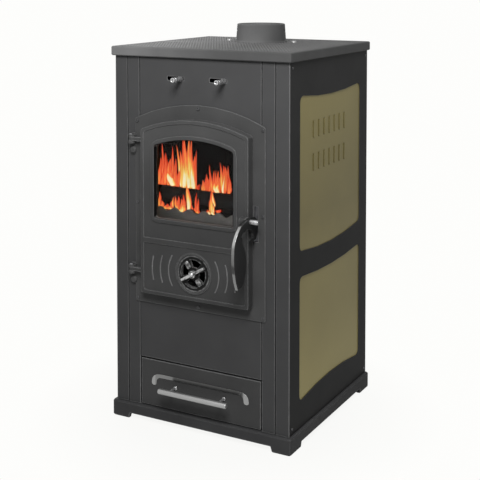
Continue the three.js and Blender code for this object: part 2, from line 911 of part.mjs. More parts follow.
// Firebox: a welded body whose sides run down past the drawer to the floor
function fireboxShell() {
  const foot = floorTop + gap;
  const body = box(-boxHalf, boxHalf, boxFront, boxRear, boxFloor, boxRoof);
  const room = box(
    -boxInner, boxInner, boxFront + boxWall, boxRear - boxWall, boxFloor + boxWall, boxRoof - boxWall);
  const mouth = acrossY(
    archShape(grown(mouthArch, mouthWall + gap)), boxFront - overrun, boxFront + boxWall + overrun);
  const duct = rod("z", flueHole, boxRoof - boxWall - overrun, boxRoof + overrun, ductSides);
  const skirts = [-1, 1].map((side) => {
    const [low, high] = [side * boxHalf, side * boxInner].sort((a, b) => a - b);
    return box(low, high, boxFront, boxRear, foot, boxFloor + boxWall);
  });
  const ledges = [-1, 1].map((side) => {
    const reach = [side * boxHalf, side * (boxInner - ledgeWidth)].sort((a, b) => a - b);
    return box(...reach, boxFront + boxWall, boxRear, bedHeight - gap - boxWall, bedHeight - gap);
  });
  const hollow = cutBy(body, [room]);
  const cuts = [mouth, duct.translate([0, collarBack, 0]), ...screwHoles(boxFront, boxFront + boxWall)];
  return cutBy(joined([hollow, ...skirts, ...ledges]), cuts);
}

function grateBed() {
  const plate = box(-bedHalf, bedHalf, bedFront, bedBack, bedHeight, bedTop);
  const halfX = grateHalf - grateBearing;
  const halfY = grateDepth / 2 - grateBearing;
  const [y0, y1] = [bedMiddle - halfY, bedMiddle + halfY];
  return cutBy(plate, [box(-halfX, halfX, y0, y1, bedHeight - overrun, bedTop + overrun)]);
}

function fireGrate() {
  const top = brickFoot + grateThickness;
  const halfY = grateDepth / 2;
  const shape = rectangle(
    -grateHalf, grateHalf, bedMiddle - halfY, bedMiddle + halfY, grateSlotWidth);
  const count = Math.floor((2 * (grateHalf - grateBearing)) / gratePitch);
  const slots = [];
  for (let i = 0; i < count; i += 1) {
    const x = (i - (count - 1) / 2) * gratePitch;
    for (const side of [-1, 1]) {
      const y = bedMiddle + (side * (grateSlotLength + gratePitch)) / 2;
      const [front, back] = [y - grateSlotLength / 2, y + grateSlotLength / 2];
      const [left, right] = [x - grateSlotWidth / 2, x + grateSlotWidth / 2];
      slots.push(box(left, right, front, back, brickFoot - overrun, top + overrun));
    }
  }
  return cutBy(acrossZ(shape, brickFoot, top), slots);
}

function sideBrick(side) {
  const [low, high] = [side * bedHalf, side * (bedHalf - brickThickness)].sort((a, b) => a - b);
  return box(low, high, bedFront, bedBack - brickThickness - gap, brickFoot, brickTop);
}

function rearBrick() {
  return box(-bedHalf, bedHalf, bedBack - brickThickness, bedBack, brickFoot, brickTop);
}

function bafflePlate() {
  const bottom = brickTop + gap;
  const front = boxFront + baffleFromFront;
  return box(-bedHalf, bedHalf, front, bedBack, bottom, bottom + baffleThickness);
}

// Log guard: a cast fender with a wavy top edge, just inside the door opening
function logGuard() {
  const half = bedHalf - brickThickness - gap;
  const pitch = (2 * half) / guardHumps;
  const middleTop = windowSill + guardAboveSill;
  const [valley, crown] = [middleTop - guardHump, middleTop + guardHump];
  const shape = new THREE.Shape();
  shape.moveTo(-half, brickFoot);
  shape.lineTo(half, brickFoot);
  shape.lineTo(half, valley);
  for (let i = 0; i < guardHumps; i += 1) {
    const start = half - i * pitch;
    shape.quadraticCurveTo(start - pitch / 2, crown, start - pitch, valley);
  }
  const front = boxFront + guardBehindMouth;
  return acrossY(shape, front, front + guardThickness);
}

function ashPan() {
  const [front, back] = [boxFront + panFromFront, boxRear - panFromRear];
  const bottom = boxFloor + boxWall + gap;
  const top = bottom + panHeight;
  const half = boxInner - panFromSide;
  const block = box(-half, half, front, back, bottom, top);
  const inner = half - panWall;
  const room = box(-inner, inner, front + panWall, back - panWall, bottom + panWall, top + overrun);
  const pull = box(-panPull, panPull, front - boxWall, front + panWall, top - panWall, top);
  return joined([cutBy(block, [room]), pull]);
}

// Door frame: an arched cast plate with a mouth that reaches into the firebox, a ridge that
// presses on the rope seal, a latch slot and two hinge ears
function hingeOutline(radius) {
  const shape = new THREE.Shape();
  shape.moveTo(hingeX + radius, frameFace + frameProud / 2);
  shape.lineTo(hingeX - radius, frameFace + frameProud / 2);
  shape.lineTo(hingeX - radius, frameFace - hingeForward);
  shape.absarc(hingeX, frameFace - hingeForward, radius, Math.PI, 2 * Math.PI, false);
  return shape;
}

function hingeEar(height) {
  const clear = knuckleHeight / 2 + hingePlay;
  const left = hingeX - cheekRadius - groove;
  const right = left + earReach + stileWidth / 2;
  const shape = rectangle(left, right, height - earBelow, height + earAbove, frameCorner);
  const ear = acrossY(shape, frameFace, frameBack, frameRound);
  const upper = acrossZ(hingeOutline(cheekRadius), height + clear, height + clear + cheekHeight);
  const lower = acrossZ(hingeOutline(cheekRadius), height - clear - cheekHeight, height - clear);
  const boss = turned("y", [
    [0, frameProud / 2],
    [bossRadius, frameProud / 2],
    [bossRadius, -bossHeight / 2],
    [bossRadius * headShare, -bossHeight],
    [0, -bossHeight],
  ]);
  const hole = rod("z", pinRadius + gap, height - earBelow, height + earBelow);
  const placed = [ear, upper, lower, boss.translate([hingeX, frameFace, height - bossDrop])];
  return cutBy(joined(placed), [hole.translate([hingeX, frameFace - hingeForward, 0])]);
}

function doorFrame() {
  const plate = acrossY(archShape(frameArch), frameFace, frameBack, frameRound);
  const mouthBack = boxFront + boxWall;
  const sleeve = acrossY(archShape(grown(mouthArch, mouthWall)), frameFace + frameProud / 2, mouthBack);
  const mouth = acrossY(archShape(mouthArch), frameFace - frameProud, mouthBack + overrun);
  const ropeMiddle = doorLip + gap + ropeWidth / 2;
  const ridgeRing = ringOf(
    archShape(grown(doorArch, ridgeWidth / 2 - ropeMiddle)),
    archShape(grown(doorArch, -ridgeWidth / 2 - ropeMiddle)));
  const ridge = acrossY(ridgeRing, frameFace - ropeRise, frameFace + frameProud / 2);
  const opening = rectangle(
    slotX - slotHalfWidth, slotX + slotHalfWidth, slotBottom, slotTop, groove);
  const slot = acrossY(opening, frameFace - overrun, frameBack + overrun);
  const body = joined([plate, sleeve, ridge, ...hingeHeights.map(hingeEar)]);
  return cutBy(body, [mouth, slot, ...screwHoles(frameFace, frameBack)]);
}

function frameScrew() {
  const head = -gap - screwHeadHeight;
  return turned("y", [
    [0, boxFront + boxWall + gap - frameFace],
    [screwShank, boxFront + boxWall + gap - frameFace],
    [screwShank, -gap],
    [screwHead, -gap],
    [screwHead, head / 2],
    [screwHead * headShare, head],
    [0, head],
  ], screwSides);
}

function hingePin() {
  const reach = knuckleHeight / 2 + hingePlay + cheekHeight + gap;
  return turned("z", [
    [0, -reach],
    [pinRadius, -reach],
    [pinRadius, reach],
    [pinHead, reach],
    [pinHead, reach + pinHeadHeight / 2],
    [pinRadius, reach + pinHeadHeight],
    [0, reach + pinHeadHeight],
  ]);
}

// Keeper: a small pressed box behind the latch slot, open towards the hook
function latchKeeper() {
  const [x0, x1] = [slotX - slotHalfWidth - keeperWall, slotX + slotHalfWidth + keeperWall];
  const [z0, z1] = [slotBottom - keeperWall, slotTop + keeperWall];
  const front = frameBack + gap;
  const back = front + keeperDepth + keeperWall;
  const block = box(x0, x1, front, back, z0, z1);
  const [low, high] = [slotX - slotHalfWidth, slotX + slotHalfWidth];
  const room = box(low, high, front - overrun, back - keeperWall, slotBottom, slotTop);
  return cutBy(block, [room]);
}

// Door leaf, drawn from its bottom edge and from the frame's face
const leafArch = raised(doorArch, -doorBottom);
const leafWindow = raised(windowArch, -doorBottom);
const skinBack = doorSkin - doorField;
const pivotZ = pivotFromFoot;
const spinnerZ = spinnerFromFoot;
const seatOuter = spinnerRadius + spinnerRing;

function sector(inner, outer, from, to, steps = cornerSteps) {
  const shape = new THREE.Shape();
  shape.absarc(0, 0, outer, from, to, false);
  shape.absarc(0, 0, inner, to, from, true);
  return faceted(shape, steps);
}

function ports(shapeOf) {
  const turns = [0, 1, 2, 3];
  return turns.map((turn) => {
    const angle = portTurn + (turn * Math.PI) / 2;
    return shapeOf(angle - portSpread, angle + portSpread);
  });
}

// A raised ring round the spinner, flat on top with sloping sides
function spinnerSeat() {
  const inner = spinnerRadius + 2 * gap;
  const slope = (seatOuter - inner) * cornerShare;
  return turned("y", [
    [inner, rimRise],
    [inner, 0],
    [inner + slope, -rimRise],
    [seatOuter - slope, -rimRise],
    [seatOuter, 0],
    [seatOuter, rimRise],
    [inner, rimRise],
  ], ductSides);
}

function arcRibs() {
  const first = seatOuter + arcFromSeat;
  const last = doorHalfWidth - rimWidth - arcFromRim;
  const ribs = [];
  arcHalfHeights.forEach((halfHeight, i) => {
    const radius = first + ((last - first) * i) / (arcHalfHeights.length - 1);
    const spread = Math.asin(halfHeight / radius);
    const reach = [radius - arcWidth / 2, radius + arcWidth / 2];
    for (const turn of [0, Math.PI]) {
      const shape = sector(...reach, turn - spread, turn + spread, curveSteps);
      const rib = acrossY(shape, -doorField - arcRise, -doorField + arcRise);
      ribs.push(rib.translate([0, 0, spinnerZ]));
    }
  });
  return ribs;
}

// A raised edge standing on the flat of the door, rounded where it meets the light
function raisedOnDoor(shape, rise) {
  return acrossY(shape, -doorField - rise, -doorField + rise, rise * edgeShare, softSteps);
}

function leafOutside() {
  const block = acrossY(archShape(leafArch), -doorField, -doorClearance);
  const rim = ringOf(archShape(leafArch), archShape(grown(leafArch, -rimWidth)));
  const bead = ringOf(archShape(grown(leafWindow, beadWidth)), archShape(leafWindow));
  const half = doorHalfWidth - rimWidth / 2;
  const band = rectangle(-half, half, bandBottom - doorBottom, bandTop - doorBottom);
  return joined([
    block,
    raisedOnDoor(rim, rimRise),
    raisedOnDoor(bead, beadRise),
    raisedOnDoor(band, rimRise),
    spinnerSeat().translate([0, -doorField, spinnerZ]),
    ...arcRibs(),
  ]);
}

function handleLug() {
  const shape = new THREE.Shape();
  shape.moveTo(-doorField + doorRound, pivotZ - lugRadius);
  shape.lineTo(-doorField + doorRound, pivotZ + lugRadius);
  shape.lineTo(-pivotForward, pivotZ + lugRadius);
  shape.absarc(-pivotForward, pivotZ, lugRadius, Math.PI / 2, (3 * Math.PI) / 2, false);
  return acrossX(shape, doorHalfWidth - lugThickness - gap, doorHalfWidth - gap, frameRound);
}

function hingeArm(height) {
  const axisY = -hingeForward;
  const z = height - doorBottom;
  const [low, high] = [z - knuckleHeight / 2, z + knuckleHeight / 2];
  const [front, back] = [axisY - armThickness / 2, axisY + armThickness / 2];
  const arm = box(hingeX, -doorHalfWidth + doorLip / 2, front, back, low, high);
  return joined([arm, rod("z", knuckleRadius, low, high).translate([hingeX, axisY, 0])]);
}

function doorLeaf() {
  const body = joined([leafOutside(), handleLug(), ...hingeHeights.map(hingeArm)]);
  const channelBack = doorLip + ropeWidth + 2 * gap;
  const pocket = acrossY(archShape(grown(leafArch, -channelBack - innerLip)), skinBack, overrun);
  const ropeDepth = ropeRise + gap + ropeWidth + gap;
  const channelRing = ringOf(
    archShape(grown(leafArch, -doorLip)), archShape(grown(leafArch, -channelBack)));
  const channel = acrossY(channelRing, -ropeDepth, overrun);
  const glazing = acrossY(archShape(leafWindow), -doorField - beadRise - overrun, overrun);
  const sink = rod("y", spinnerRadius + gap, -doorField - overrun, spinnerSink - doorField, ductSides);
  const airPorts = ports((from, to) =>
    acrossY(sector(portInner, portOuter, from, to), -doorField - overrun, overrun));
  const boltHole = rod("y", boltShank + gap, -doorField - overrun, overrun);
  const round = [sink, boltHole, ...airPorts].map((cut) => cut.translate([0, 0, spinnerZ]));
  const lugInner = doorHalfWidth - lugThickness;
  const pinHole = rod("x", handlePinRadius + gap, lugInner - overrun, doorHalfWidth + overrun);
  const hingeHoles = rod("z", pinRadius + gap, -overrun, leafArch.apex);
  return cutBy(body, [
    pocket,
    channel,
    glazing,
    ...round,
    pinHole.translate([0, -pivotForward, pivotZ]),
    hingeHoles.translate([hingeX, -hingeForward, 0]),
  ]);
}

// Glass and what holds it, stacked behind the door's skin
const gasketFront = skinBack + gap;
const glassFront = gasketFront + gasketThickness + gap;
const retainerFront = glassFront + glassThickness + gap;

function glassGasket() {
  const ring = ringOf(
    archShape(grown(leafWindow, glassMargin)), archShape(grown(leafWindow, gap)));
  return acrossY(ring, gasketFront, gasketFront + gasketThickness);
}

function doorGlass() {
  return acrossY(archShape(grown(leafWindow, glassMargin)), glassFront, glassFront + glassThickness);
}

function glassRetainer() {
  const ring = ringOf(
    archShape(grown(leafWindow, glassMargin + retainerThickness)),
    archShape(grown(leafWindow, glassMargin - retainerWidth + retainerThickness)));
  return acrossY(ring, retainerFront, retainerFront + retainerThickness);
}

function ropeSeal() {
  const outer = grown(leafArch, -doorLip - gap);
  const ring = ringOf(archShape(outer), archShape(grown(outer, -ropeWidth)));
  const back = -ropeRise - gap;
  return acrossY(ring, back - ropeWidth, back, ropeWidth * cornerShare);
}

// Air spinner: a disc with four ports, a lip on each, two pads and a grip across the middle
function airSpinner() {
  const face = -spinnerThickness;
  const disc = rod("y", spinnerRadius, face, 0, ductSides);
  const lips = ports((from, to) =>
    acrossY(sector(portOuter, portOuter + lipWidth, from, to), face - lipRise, face / 2));
  const flat = (length, width) =>
    rectangle(-length / 2, length / 2, -width / 2, width / 2, width * cornerShare);
  const turn = (form, angle) => form.rotate([0, -THREE.MathUtils.radToDeg(angle), 0]);
  const pads = [padTurn, padTurn + Math.PI].map((angle) => {
    const pad = acrossY(flat(padLength, padWidth), face - padRise, face / 2, padRound);
    return turn(pad.translate([padRadius, 0, 0]), angle);
  });
  const bar = acrossY(flat(gripLength, gripWidth), face - gripRise, face / 2, padRound);
  const hub = rod("y", hubRadius, face - gripRise, face / 2);
  const holes = ports((from, to) =>
    acrossY(sector(portInner, portOuter, from, to), face - overrun, overrun));
  const plate = cutBy(disc, holes);
  const body = joined([plate, ...lips, ...pads, turn(bar, gripTurn), hub]);
  return cutBy(body, [rod("y", boltShank + gap, face - gripRise - overrun, overrun)]);
}

function spinnerBolt() {
  const seat = -spinnerThickness - gripRise - gap;
  return turned("y", [
    [0, seat + boltLength],
    [boltShank, seat + boltLength],
    [boltShank, seat],
    [boltHead, seat],
    [boltHead, seat - boltHeadHeight / 2],
    [boltHead * headShare, seat - boltHeadHeight],
    [0, seat - boltHeadHeight],
  ]);
}

// Lever handle in the Y-Z plane, its pivot at the origin: a thick crescent to hold, a thin web
// behind it and a hook that drops into the latch slot
const leverPoint = ([forward, down]) => [forward * leverReach, down * leverDrop];
const hookPoint = ([back, down]) => [back * hookBack, down * hookDrop];

function edgeCurve(shares) {
  return new THREE.SplineCurve(shares.map((share) => new THREE.Vector2(...leverPoint(share))));
}

// The front edge, moved inwards by a distance
function frontEdge(inset) {
  const curve = edgeCurve(frontEdgeShares);
  const count = 2 * frontEdgeShares.length;
  const points = [];
  for (let i = 0; i <= count; i += 1) {
    const along = curve.getTangent(i / count);
    const at = curve.getPoint(i / count);
    points.push([at.x - along.y * inset, at.y + along.x * inset]);
  }
  return points;
}

function leverHandle() {
  const inset = rimStrip + gap;
  const smooth = (shares) =>
    edgeCurve(shares).getPoints(2 * shares.length).map(({ x, y }) => [x, y]);
  const crescent = outline([
    [0, lugRadius - gap], ...frontEdge(inset), ...smooth(crescentBackShares), [0, 0]]);
  const inside = frontEdge(2 * inset).filter(([, z]) => z < -leverDrop * webTopShare);
  const web = outline([...inside, ...smooth(lensBackShares)]);
  const hook = outline(hookShares.map(hookPoint));
  const head = rod("x", lugRadius, -headThickness / 2, headThickness / 2);
  const body = joined([
    acrossX(crescent, -crescentThickness / 2, crescentThickness / 2, rimStrip / 2),
    acrossX(web, -webThickness / 2, webThickness / 2),
    acrossX(hook, -headThickness / 2, headThickness / 2),
    head,
  ]);
  const hole = rod("x", handlePinRadius + gap, -crescentThickness, crescentThickness);
  return cutBy(body, [hole]);
}

function handleRim() {
  const strip = outline([...frontEdge(0), ...frontEdge(rimStrip).reverse()]);
  return acrossX(strip, -crescentThickness / 2, crescentThickness / 2);
}

function handlePin() {
  const headStart = leverX + crescentThickness / 2 + gap;
  const end = doorHalfWidth + handlePinEnd;
  return turned("x", [
    [0, doorHalfWidth - lugThickness - gap],
    [handlePinRadius, doorHalfWidth - lugThickness - gap],
    [handlePinRadius, headStart],
    [handlePinHead, headStart],
    [handlePinHead, end - rodRound],
    [handlePinHead - rodRound, end],
    [0, end],
  ]);
}

// Drawer, drawn from the middle of its front edge on the plinth
const barZ = drawerHeight - barBelowTop;
const postX = barHalf - postFromEnd;

function drawerFront() {
  const shape = rectangle(-drawerHalf, drawerHalf, 0, drawerHeight, drawerRound);
  const face = acrossY(shape, 0, drawerFace, drawerRound / 2);
  const inner = drawerHalf - sheet;
  const hollow = box(-inner, inner, sheet, drawerFace + overrun, sheet, drawerHeight - sheet);
  const hole = rod("y", postRadius - barRound + gap, -overrun, drawerFace);
  const holes = [-1, 1].map((side) => hole.translate([side * postX, 0, barZ]));
  return cutBy(face, [hollow, ...holes]);
}

const drawerBoxBottom = floorTop + gap + sheet + gap - drawerBottom;

function drawerBox() {
  const front = drawerFace + gap;
  const back = boxRear - casingFront - drawerFromRear;
  const top = drawerBoxBottom + drawerHeight - drawerBoxDrop;
  const block = box(-drawerBoxHalf, drawerBoxHalf, front, back, drawerBoxBottom, top);
  const inner = drawerBoxHalf - drawerWall;
  const floor = drawerBoxBottom + drawerWall;
  const room = box(-inner, inner, front + drawerWall, back - drawerWall, floor, top + overrun);
  return cutBy(block, [room]);
}

function drawerRail(side) {
  const base = floorTop + gap;
  const outer = boxInner - gap;
  const guide = drawerBoxHalf + gap;
  const x = (value) => side * value;
  const profile = outline([
    [x(drawerBoxHalf - railBearing), base],
    [x(outer), base],
    [x(outer), base + railHeight],
    [x(outer - sheet), base + railHeight],
    [x(outer - sheet), base + sheet],
    [x(guide + sheet), base + sheet],
    [x(guide + sheet), base + railGuide],
    [x(guide), base + railGuide],
    [x(guide), base + sheet],
    [x(drawerBoxHalf - railBearing), base + sheet],
  ]);
  return acrossY(profile, boxFront + boxWall, boxRear);
}

// Polished trim band with drooping ends, above the pull bar
function trimBandShape() {
  const top = drawerHeight - trimBelowTop;
  const bottom = top - trimBand;
  const tip = top - trimDroop;
  const reach = drawerHalf - trimFromSide;
  const shoulder = reach - 2 * trimTip;
  const tipRound = trimTip / 2;
  const inside = reach - trimTip;
  const shape = new THREE.Shape();
  shape.moveTo(-shoulder, top);
  shape.quadraticCurveTo(-reach, top, -reach, tip + tipRound);
  shape.quadraticCurveTo(-reach, tip, tipRound - reach, tip);
  shape.quadraticCurveTo(-inside, tip, -inside, tip + tipRound);
  shape.quadraticCurveTo(-inside, bottom, -shoulder, bottom);
  shape.lineTo(shoulder, bottom);
  shape.quadraticCurveTo(inside, bottom, inside, tip + tipRound);
  shape.quadraticCurveTo(inside, tip, reach - tipRound, tip);
  shape.quadraticCurveTo(reach, tip, reach, tip + tipRound);
  shape.quadraticCurveTo(reach, top, shoulder, top);
  return shape;
}

function pullBar() {
  return turned("x", [
    [0, -barHalf],
    [barRadius - barRound, -barHalf],
    [barRadius, barRound - barHalf],
    [barRadius, barHalf - barRound],
    [barRadius - barRound, barHalf],
    [0, barHalf],
  ]);
}

function barPost() {
  const reach = barStandoff - barRadius - gap;
  return turned("y", [
    [0, postTail],
    [postRadius - barRound, postTail],
    [postRadius - barRound, -gap],
    [postRadius, -gap],
    [postRadius, -reach + barRound],
    [postRadius - barRound, -reach],
    [0, -reach],
  ]);
}

// Air rod and the slide behind the panel that it moves
function airRod() {
  const stop = casingBack - casingFront + gap + sheet + gap;
  return turned("y", [
    [0, stop],
    [rodNeck, stop],
    [rodNeck, -groove],
    [rodRadius, -groove],
    [rodRadius, rodRound - rodLength],
    [rodRadius - rodRound, -rodLength],
    [rodRadius / 2, -rodLength],
    [0, rodDimple - rodLength],
  ]);
}

function airSlide() {
  const front = sheet + gap;
  const shape = rectangle(
    -slideHalfWidth, slideHalfWidth, -slideHalfHeight, slideHalfHeight, sheet);
  const plate = acrossY(shape, front, front + sheet);
  return cutBy(plate, [rod("y", rodNeck + gap, 0, front + sheet + overrun)]);
}

// Puts the pieces together
function group(place, children) {
  const set = new THREE.Group();
  set.position.set(...place);
  set.add(...children);
  return set;
}

function at(mesh, x, y, z) {
  mesh.position.set(x, y, z);
  return mesh;
}

const sides = { left: -1, right: 1 };

const casing = group([0, 0, 0], [
  piece("base_plinth", finishes.castIron, basePlinth()),
  piece("floor_tray", finishes.boilerPlate, floorTray()),
  piece("rear_panel", finishes.sideEnamel, rearPanel()),
  piece("front_panel_upper", finishes.frontEnamel, upperPanel()),
  piece("front_panel_lower", finishes.frontEnamel, lowerPanel()),
  piece("top_plate", finishes.castIron, topPlate()),
  piece("flue_collar", finishes.castIron, flueCollar()),
  piece("latch_keeper", finishes.steel, latchKeeper()),
]);

for (const [name, side] of Object.entries(sides)) {
  casing.add(piece(`front_post_${name}`, finishes.frontEnamel, post(side)));
  casing.add(piece(`front_stile_${name}`, finishes.frontEnamel, stile(side)));
  casing.add(piece(`side_panel_${name}`, finishes.sideEnamel, sidePanel(side)));
  casing.add(piece(`side_inlay_${name}`, finishes.olive, sideInlay(side)));
  const screw = piece(`top_plate_screw_${name}`, finishes.chrome, plateScrew());
  casing.add(at(screw, side * topScrewReach, collarBack, stoveTop));
}

const firebox = group([0, 0, 0], [
  piece("firebox_shell", finishes.boilerPlate, fireboxShell()),
  piece("grate_bed", finishes.boilerPlate, grateBed()),
  piece("fire_grate", finishes.castIron, fireGrate()),
  piece("fire_brick_rear", finishes.brick, rearBrick()),
  piece("fire_brick_left", finishes.brick, sideBrick(-1)),
  piece("fire_brick_right", finishes.brick, sideBrick(1)),
  piece("baffle_plate", finishes.boilerPlate, bafflePlate()),
  piece("log_guard", finishes.castIron, logGuard()),
  piece("ash_pan", finishes.steel, ashPan()),
]);

const frame = group([0, 0, 0], [piece("door_frame", finishes.castIron, doorFrame())]);
screwPlaces.forEach(([x, z], i) => {
  frame.add(at(piece(`frame_screw_${i + 1}`, finishes.castIron, frameScrew()), x, frameFace, z));
});
["lower", "upper"].forEach((name, i) => {
  const pin = piece(`hinge_pin_${name}`, finishes.steel, hingePin());
  frame.add(at(pin, hingeX, frameFace - hingeForward, hingeHeights[i]));
});

const handle = group([leverX, -pivotForward, pivotZ], [
  piece("door_handle", finishes.castIron, leverHandle()),
  piece("handle_rim", finishes.chrome, handleRim()),
]);

const spinner = group([0, spinnerSink - gap - doorField, spinnerZ], [
  piece("air_spinner", finishes.castIron, airSpinner()),
  piece("spinner_bolt", finishes.chrome, spinnerBolt()),
]);

const door = group([0, frameFace, doorBottom], [
  piece("door_leaf", finishes.castIron, doorLeaf()),
  piece("glass_gasket", finishes.rope, glassGasket()),
  piece("door_glass", finishes.glass, doorGlass()),
  piece("glass_retainer", finishes.steel, glassRetainer()),
  piece("door_rope_seal", finishes.rope, ropeSeal()),
  at(piece("handle_pin", finishes.chrome, handlePin()), 0, -pivotForward, pivotZ),
  handle,
  spinner,
]);

const drawer = group([0, casingFront, drawerBottom], [
  piece("drawer_front", finishes.frontEnamel, drawerFront()),
  piece("drawer_box", finishes.boilerPlate, drawerBox()),
  piece("drawer_trim", finishes.steel, acrossY(trimBandShape(), -gap - trimThickness, -gap)),
  at(piece("drawer_bar", finishes.steel, pullBar()), 0, -barStandoff, barZ),
]);
for (const [name, side] of Object.entries(sides)) {
  drawer.add(at(piece(`drawer_post_${name}`, finishes.chrome, barPost()), side * postX, 0, barZ));
  firebox.add(piece(`drawer_rail_${name}`, finishes.steel, drawerRail(side)));
}

const airRods = Object.keys(sides).map((name) =>
  group([rodCentres[name], casingFront, rodHeight], [
    piece(`damper_rod_${name}`, finishes.chrome, airRod()),
    piece(`damper_slide_${name}`, finishes.steel, airSlide()),
  ])
);

const stove = group([0, -middle, 0], [casing, firebox, frame, door, drawer, ...airRods]);

export default stove;
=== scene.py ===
# %% [markdown]
# # A cast iron wood stove, dressed for its picture
# The stove's solids come from CAD, in metres, and stay where they are. This lesson gives them
# their looks: paint, cast iron, chrome, glass and a lit fire. Where a solid is too plain, such as
# a screw with eight sides, a finer mesh takes its place and moves with the same body.

# %% Load the frame
import json
import math

import bmesh
import bpy
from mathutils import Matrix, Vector


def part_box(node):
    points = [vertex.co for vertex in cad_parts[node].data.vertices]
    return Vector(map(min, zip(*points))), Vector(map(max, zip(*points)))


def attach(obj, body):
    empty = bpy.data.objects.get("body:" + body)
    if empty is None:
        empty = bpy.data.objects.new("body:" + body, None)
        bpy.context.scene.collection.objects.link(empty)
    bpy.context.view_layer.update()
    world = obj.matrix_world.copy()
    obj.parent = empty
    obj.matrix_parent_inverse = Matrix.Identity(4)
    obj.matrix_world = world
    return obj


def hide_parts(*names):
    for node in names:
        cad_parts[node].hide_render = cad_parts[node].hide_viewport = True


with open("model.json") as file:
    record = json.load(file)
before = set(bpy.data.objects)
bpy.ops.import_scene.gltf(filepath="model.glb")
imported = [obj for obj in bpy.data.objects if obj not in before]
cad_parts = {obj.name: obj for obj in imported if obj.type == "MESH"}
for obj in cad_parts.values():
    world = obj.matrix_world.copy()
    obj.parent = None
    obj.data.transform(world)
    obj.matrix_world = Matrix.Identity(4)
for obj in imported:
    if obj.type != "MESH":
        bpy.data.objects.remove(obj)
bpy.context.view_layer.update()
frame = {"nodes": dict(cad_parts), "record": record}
nodes = frame["nodes"]

# %% [markdown]
# ## Units and places
# The stove was drawn in millimetres. Each place below is written that way too and turned into
# metres once, so that a reader can hold a ruler to it. The places that the scene needs again come
# from the solids themselves, by their boxes.

# %% Millimetres to metres
MM = 0.001


def mm(*values):
    """Millimetres to metres, for one number or for a point."""
    metres = [value * MM for value in values]
    return metres[0] if len(metres) == 1 else Vector(metres)


def middle_of(node):
    """The middle of a solid's box."""
    low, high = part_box(node)
    return (low + high) / 2


scene = bpy.context.scene
scene.view_settings.view_transform = "Standard"

# %% [markdown]
# ## Camera
# The photo was taken from the right of the stove and a little above its top plate. Its upright
# edges stay parallel, as with a lens that is shifted down while the camera looks level. The
# place, turn, lens and shift below were fitted to about twenty long edges of the photo.

# %% Set the camera
CAMERA_PLACE = (1.45707, -2.63297, 1.25226)
CAMERA_TURN = 0.50084
CAMERA_TILT = 0.05005
CAMERA_LENS = 79.318
CAMERA_SHIFT = -0.44235

camera_data = bpy.data.cameras.new("photo_camera")
camera_data.sensor_width = 36
camera_data.lens = CAMERA_LENS
camera_data.shift_y = CAMERA_SHIFT
camera_data.clip_end = 50
camera = bpy.data.objects.new("photo_camera", camera_data)
camera.location = CAMERA_PLACE
camera.rotation_euler = (math.pi / 2 - CAMERA_TILT, 0, CAMERA_TURN)
scene.collection.objects.link(camera)
scene.camera = camera

# %% [markdown]
# ## World and lamps
# A studio photo of black iron is lit by large soft boxes. One wide lamp stands near the camera and
# high up, which makes the front lighter than the side and its top lighter than its foot. A faint
# one above lifts the top plate. A low one behind shows the back and the left side, and it stands
# below the top plate, so that none of its light skims over the studs. It is hidden from the
# camera, also through the pane of an open door. The world fills the rest evenly. What the camera
# and the bright metals see is plain white.

# %% Light the stove
WORLD_FILL = 0.1
STUDIO_WHITE = (0.985, 0.985, 0.97, 1)
KEY_POWER, TOP_POWER, REAR_POWER = 72, 3, 40


def new_tree(tree):
    """Empties a node tree and returns the function that adds its nodes.

    That function takes a node's kind, its inputs by name or number, each a plain value or the
    output of another node, and its properties.
    """
    tree.nodes.clear()

    def add(kind, inputs=None, **values):
        node = tree.nodes.new(kind)
        for key, value in values.items():
            setattr(node, key, value)
        for key, value in (inputs or {}).items():
            if isinstance(value, bpy.types.NodeSocket):
                tree.links.new(value, node.inputs[key])
            else:
                node.inputs[key].default_value = value
        return node

    return add


def maths(add, operation, *values):
    """The result of one Math node."""
    return add("ShaderNodeMath", dict(enumerate(values)), operation=operation).outputs[0]


def seen_ray(add):
    """1 for what the camera, a mirror or glass sees, and 0 for what only lights the scene."""
    path = add("ShaderNodeLightPath").outputs
    seen = maths(add, "MAXIMUM", path["Is Camera Ray"], path["Is Glossy Ray"])
    return maths(add, "MAXIMUM", seen, path["Is Transmission Ray"])


world = bpy.data.worlds.new("studio")
scene.world = world
world.use_nodes = True
add = new_tree(world.node_tree)
fill = add("ShaderNodeBackground", {"Color": (0.96, 0.98, 1.0, 1), "Strength": WORLD_FILL})
white = add("ShaderNodeBackground", {"Color": STUDIO_WHITE})
both = add("ShaderNodeMixShader", {0: seen_ray(add), 1: fill.outputs[0], 2: white.outputs[0]})
add("ShaderNodeOutputWorld", {"Surface": both.outputs[0]})


def lamp(name, place, aim, size, power):
    """A square soft box that points from its place to its aim."""
    data = bpy.data.lights.new(name, "AREA")
    data.shape = "SQUARE"
    data.size = size
    data.energy = power
    obj = bpy.data.objects.new(name, data)
    obj.location = place
    obj.rotation_euler = (Vector(aim) - Vector(place)).to_track_quat("-Z", "Y").to_euler()
    scene.collection.objects.link(obj)
    return obj


lamp("key_lamp", (0.9, -1.9, 2.4), (0, 0, 0.8), 1.0, KEY_POWER)
lamp("top_lamp", (-0.9, 0.6, 2.4), (0, 0, 1.0), 1.2, TOP_POWER)
rear_lamp = lamp("rear_lamp", (-1.7, 2.3, 0.5), (0, 0, 0.55), 1.0, REAR_POWER)
rear_lamp.visible_camera = rear_lamp.visible_transmission = False

# %% [markdown]
# ## Floor
# The floor is a large pale sheet. For the camera it is a plain white, into which a little lit
# paint is mixed near the stove, so that the soft shadow under the plinth still shows.

# %% Lay the floor
FLOOR_HALF = 12.0
FLOOR_SHADOW = 0.08
SHADOW_NEAR, SHADOW_FAR = 0.3, 0.6


